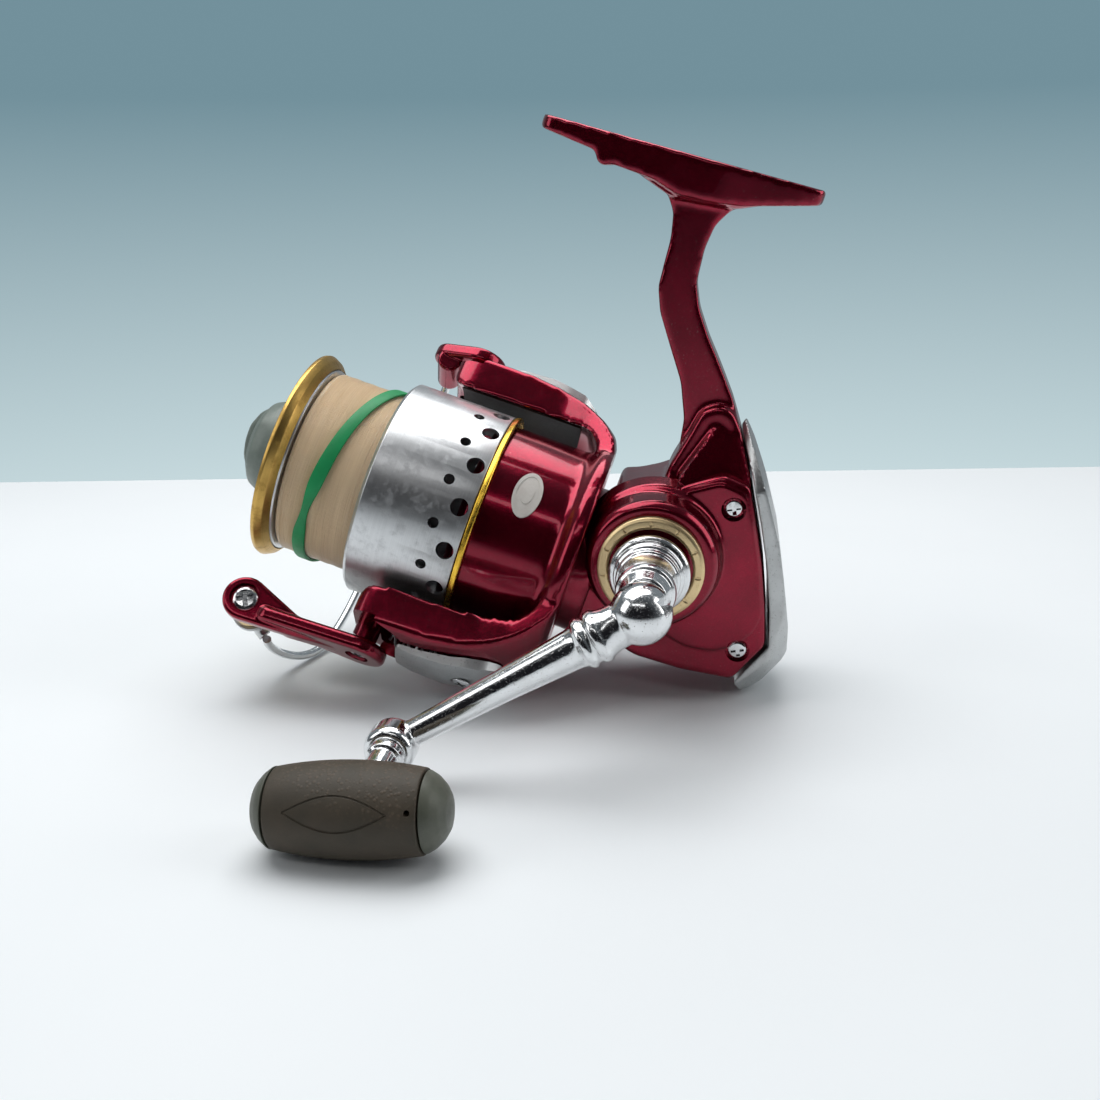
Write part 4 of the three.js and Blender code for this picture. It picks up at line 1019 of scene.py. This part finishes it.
def makeLineRoller(s):
    x, z, head, cone = s["rollerX"], s["rollerZ"], s["headY"], s["coneY"]
    at, along = (x, 0, z), (0, 1, 0)
    profile = [(cone, 0), (cone, 4.6), (cone + 1.6, 4.4), (cone + 4.2, 2.9), (cone + 5.3, 1.4),
               (cone + 5.6, 0)]
    spout = [(x, cone + 3, z), (x + 2, cone + 3.6, z - 2), (x + 4.4, cone + 4.1, z - 3.3)]
    coneShape = cast(joined(turned(profile, 0.35, 80, at, along), wireAlong(spout, 1.65)), 0.2, 3)
    coneShape = cut(coneShape, rod(cone - 2, cone + 3, 1.5, at, along, steps=40))
    piece("rollerCone", coneShape, "bail", "satin_silver", armSilver, "roller_cone", place=rotorPlace)

    hx, _, hz = s["wireHead"]
    path = [(x + 5.0, cone + 4.6, z - 3.9), *s["wirePath"], (hx, 7.6, hz), (hx, 4.4, hz)]
    piece("bailWire", wireAlong(path, s["wireRadius"], sides=6, fine=10), "bail", "chrome", chromeRotor,
          "bail_wire", place=rotorPlace)

    screw = joined(crossScrew(3.0, (x, head + 0.2, z), (0, -1, 0), 0.8),
                   rod(head + 0.9, cone + 2.4, 1.2, at, along, steps=32))
    piece("rollerScrew", screw, "bail", "chrome", chromeRotor, "roller_screw", place=rotorPlace)

    profile = [(head + 3.6, 1.6), (head + 3.6, 3.9), (head + 4.2, 3.9), (4.8, 3), (7.4, 3), (cone - 1.0, 3.8),
               (cone - 0.4, 3.8), (cone - 0.4, 1.6)]
    piece("lineRoller", turned(profile, 0.2, 80, at, along, True), "line_roller", "gold_anodised", hubGold,
          "line_roller", place=rotorPlace)


makeRollerLever(bailSizes)
makeWireLever(bailSizes)
makePivotScrews(bailSizes)
makeLineRoller(bailSizes)
print("bail made")

# The spool, its line and the drag knob.

spoolSizes = {
    "profile": [(-72, 3), (-72, 11), (-64.3, 11), (-64.3, 25.3), (-41.2, 25.3), (-41.2, 26.2),
                (-65.1, 26.2), (-66, 25.2), (-66, 15), (-84.8, 15), (-84.8, 22.6), (-86.8, 23.2),
                (-88.4, 23.1), (-89.6, 20.5), (-90, 16.5), (-89.6, 12.9), (-80, 12.9), (-80, 3)],
    "holes": 16,
    "rows": [(-43.9, 2.05, 0), (-48.2, 1.25, 0.5)],  # x, radius, and the shift round in steps
    "lip": [(-85.1, 22.95), (-86.4, 24.6), (-88, 25.4), (-88.9, 25.1), (-88.9, 24.2), (-88.2, 23.5),
            (-86.6, 23.6)],
    "band": [(-40.9, 25.4), (-40.9, 26.3), (-39.9, 26.6), (-39.6, 26.4), (-39.6, 25.4)],
}


def makeSpool(s):
    holes = []
    for k in range(s["holes"]):
        for x, radius, shift in s["rows"]:
            hole = rod(22, 29, radius, (x, 0, 0), (0, 0, 1), steps=28)
            holes.append(spun(hole, 2 * math.pi * (k + shift) / s["holes"]))
    shell = cut(turned(s["profile"], 0.14, 160, closed=True), joined(*holes))
    piece("spoolShell", shell, "spool", "satin_silver", spoolSilver, "spool", sharp=30)
    lip = turned(s["lip"], 0.15, 160, closed=True)
    piece("spoolLip", lip, "spool", "gold_anodised", lipGold, "lip_ring")
    band = turned(s["band"], 0.1, 160, closed=True)
    piece("skirtBand", band, "spool", "gold_anodised", skirtGold, "skirt_ring")


windingSizes = {
    "rear": -84.1, "length": 17.4, "turns": 70, "level": 22.12, "ridge": 0.07, "groove": -0.05,
    "rearEdge": [(-84.4, 15.3), (-84.4, 21.4)], "frontEdge": [(-66.3, 21.2), (-66.3, 15.3)],
}


# The wound line: one ridge for each turn, falling away a little towards both ends.
def makeWinding(s):
    ridges = []
    for k in range(s["turns"] * 2 + 1):
        x = s["rear"] + s["length"] * k / (s["turns"] * 2)
        level = s["level"] - 0.5 * max(0, (-83.4 - x)) - 0.4 * max(0, x + 68) + 0.05 * math.sin(x * 1.7)
        ridges.append((x, level + (s["ridge"] if k % 2 else s["groove"])))
    winding = turned([*s["rearEdge"], *ridges, *s["frontEdge"]], 0, 128, closed=True)
    piece("lineWinding", winding, "spool", "line", monofilament(), "line_winding", sharp=80)


rubberBandSizes = {
    "profile": [(-1.7, 22.5), (-1.7, 23.1), (1.7, 23.1), (1.7, 22.5)],
    "pinchTurn": -1.75, "pinchSpread": 0.22, "pinch": 0.5,
    "middleX": -73.3, "leanY": 0.16, "leanZ": 0.15,
}


# The rubber band lies slanted and wavy, pinched where it is half turned over.
def makeRubberBand(s):
    band = turned(s["profile"], 0.2, 160, closed=True)
    for v in band.verts:
        angle = math.atan2(v.co.y, v.co.z)
        squeeze = 1 - s["pinch"] * math.exp(-((angle - s["pinchTurn"]) / s["pinchSpread"]) ** 2)
        v.co.x *= squeeze * (0.9 + 0.1 * math.sin(3 * angle))
        v.co.x += 0.5 * math.sin(2 * angle + 0.6) + 0.3 * math.sin(3 * angle)
    slant = Matrix.Identity(4)
    slant[0][1], slant[0][2], slant[0][3] = s["leanY"], s["leanZ"], s["middleX"]
    band.transform(slant)
    piece("rubberBand", band, "spool", "green_rubber", bandGreen, "rubber_band")


dragSizes = {
    "dome": [(-85.2, 0), (-85.2, 11.6), (-86, 12.1), (-91, 12.2), (-94.5, 11.6), (-97, 10.4), (-98.6, 7.6),
             (-99.2, 3), (-99.2, 0)],
    "wing": [(-90, -11.4), (-94, -11.6), (-99, -8), (-101, -4), (-101.4, 0), (-101, 4), (-99, 8),
             (-94, 11.6), (-90, 11.4)],
    "wingHalf": 2.6, "bore": 2.8, "grooves": 30, "grooveRadius": 0.28, "grooveOut": 12.25,
}


def makeDragKnob(s):
    wing = slab(s["wing"], -s["wingHalf"], s["wingHalf"], 1.0, 0.9)
    whole = cut(cast(joined(turned(s["dome"], 0.6, 112), wing), 0.3, 4), rod(-98, -80, s["bore"]))
    grooves = []
    for k in range(s["grooves"]):
        groove = rod(-92, -86.4, s["grooveRadius"], (0, s["grooveOut"], 0), (1, 0, 0), steps=10)
        grooves.append(spun(groove, 2 * math.pi * k / s["grooves"]))
    piece("dragKnob", cut(whole, joined(*grooves)), "drag_knob", "grey_plastic", dragGrey, "drag_knob",
          sharp=40)


makeSpool(spoolSizes)
makeWinding(windingSizes)
makeRubberBand(rubberBandSizes)
makeDragKnob(dragSizes)
print("spool made")

# The inner parts keep their own shapes and get worked-metal, plastic or felt finishes.
keptParts = {
    machinedSteel: ["drive_bearing_near", "drive_bearing_far", "pinion_bearing", "one_way_clutch",
                    "oscillation_post", "drive_shaft", "rotor_nut", "bail_spring", "main_shaft", "drag_clip"],
    machinedBrass: ["drive_gear", "pinion_gear", "oscillation_slider"],
    gearWhite: ["oscillation_gear"],
    washerFelt: ["drag_washer_1", "drag_washer_2", "drag_washer_3"],
}
for finish, names in keptParts.items():
    for node in names:
        slots = frame["nodes"][node].data.materials
        for k in range(len(slots)):
            slots[k] = finish
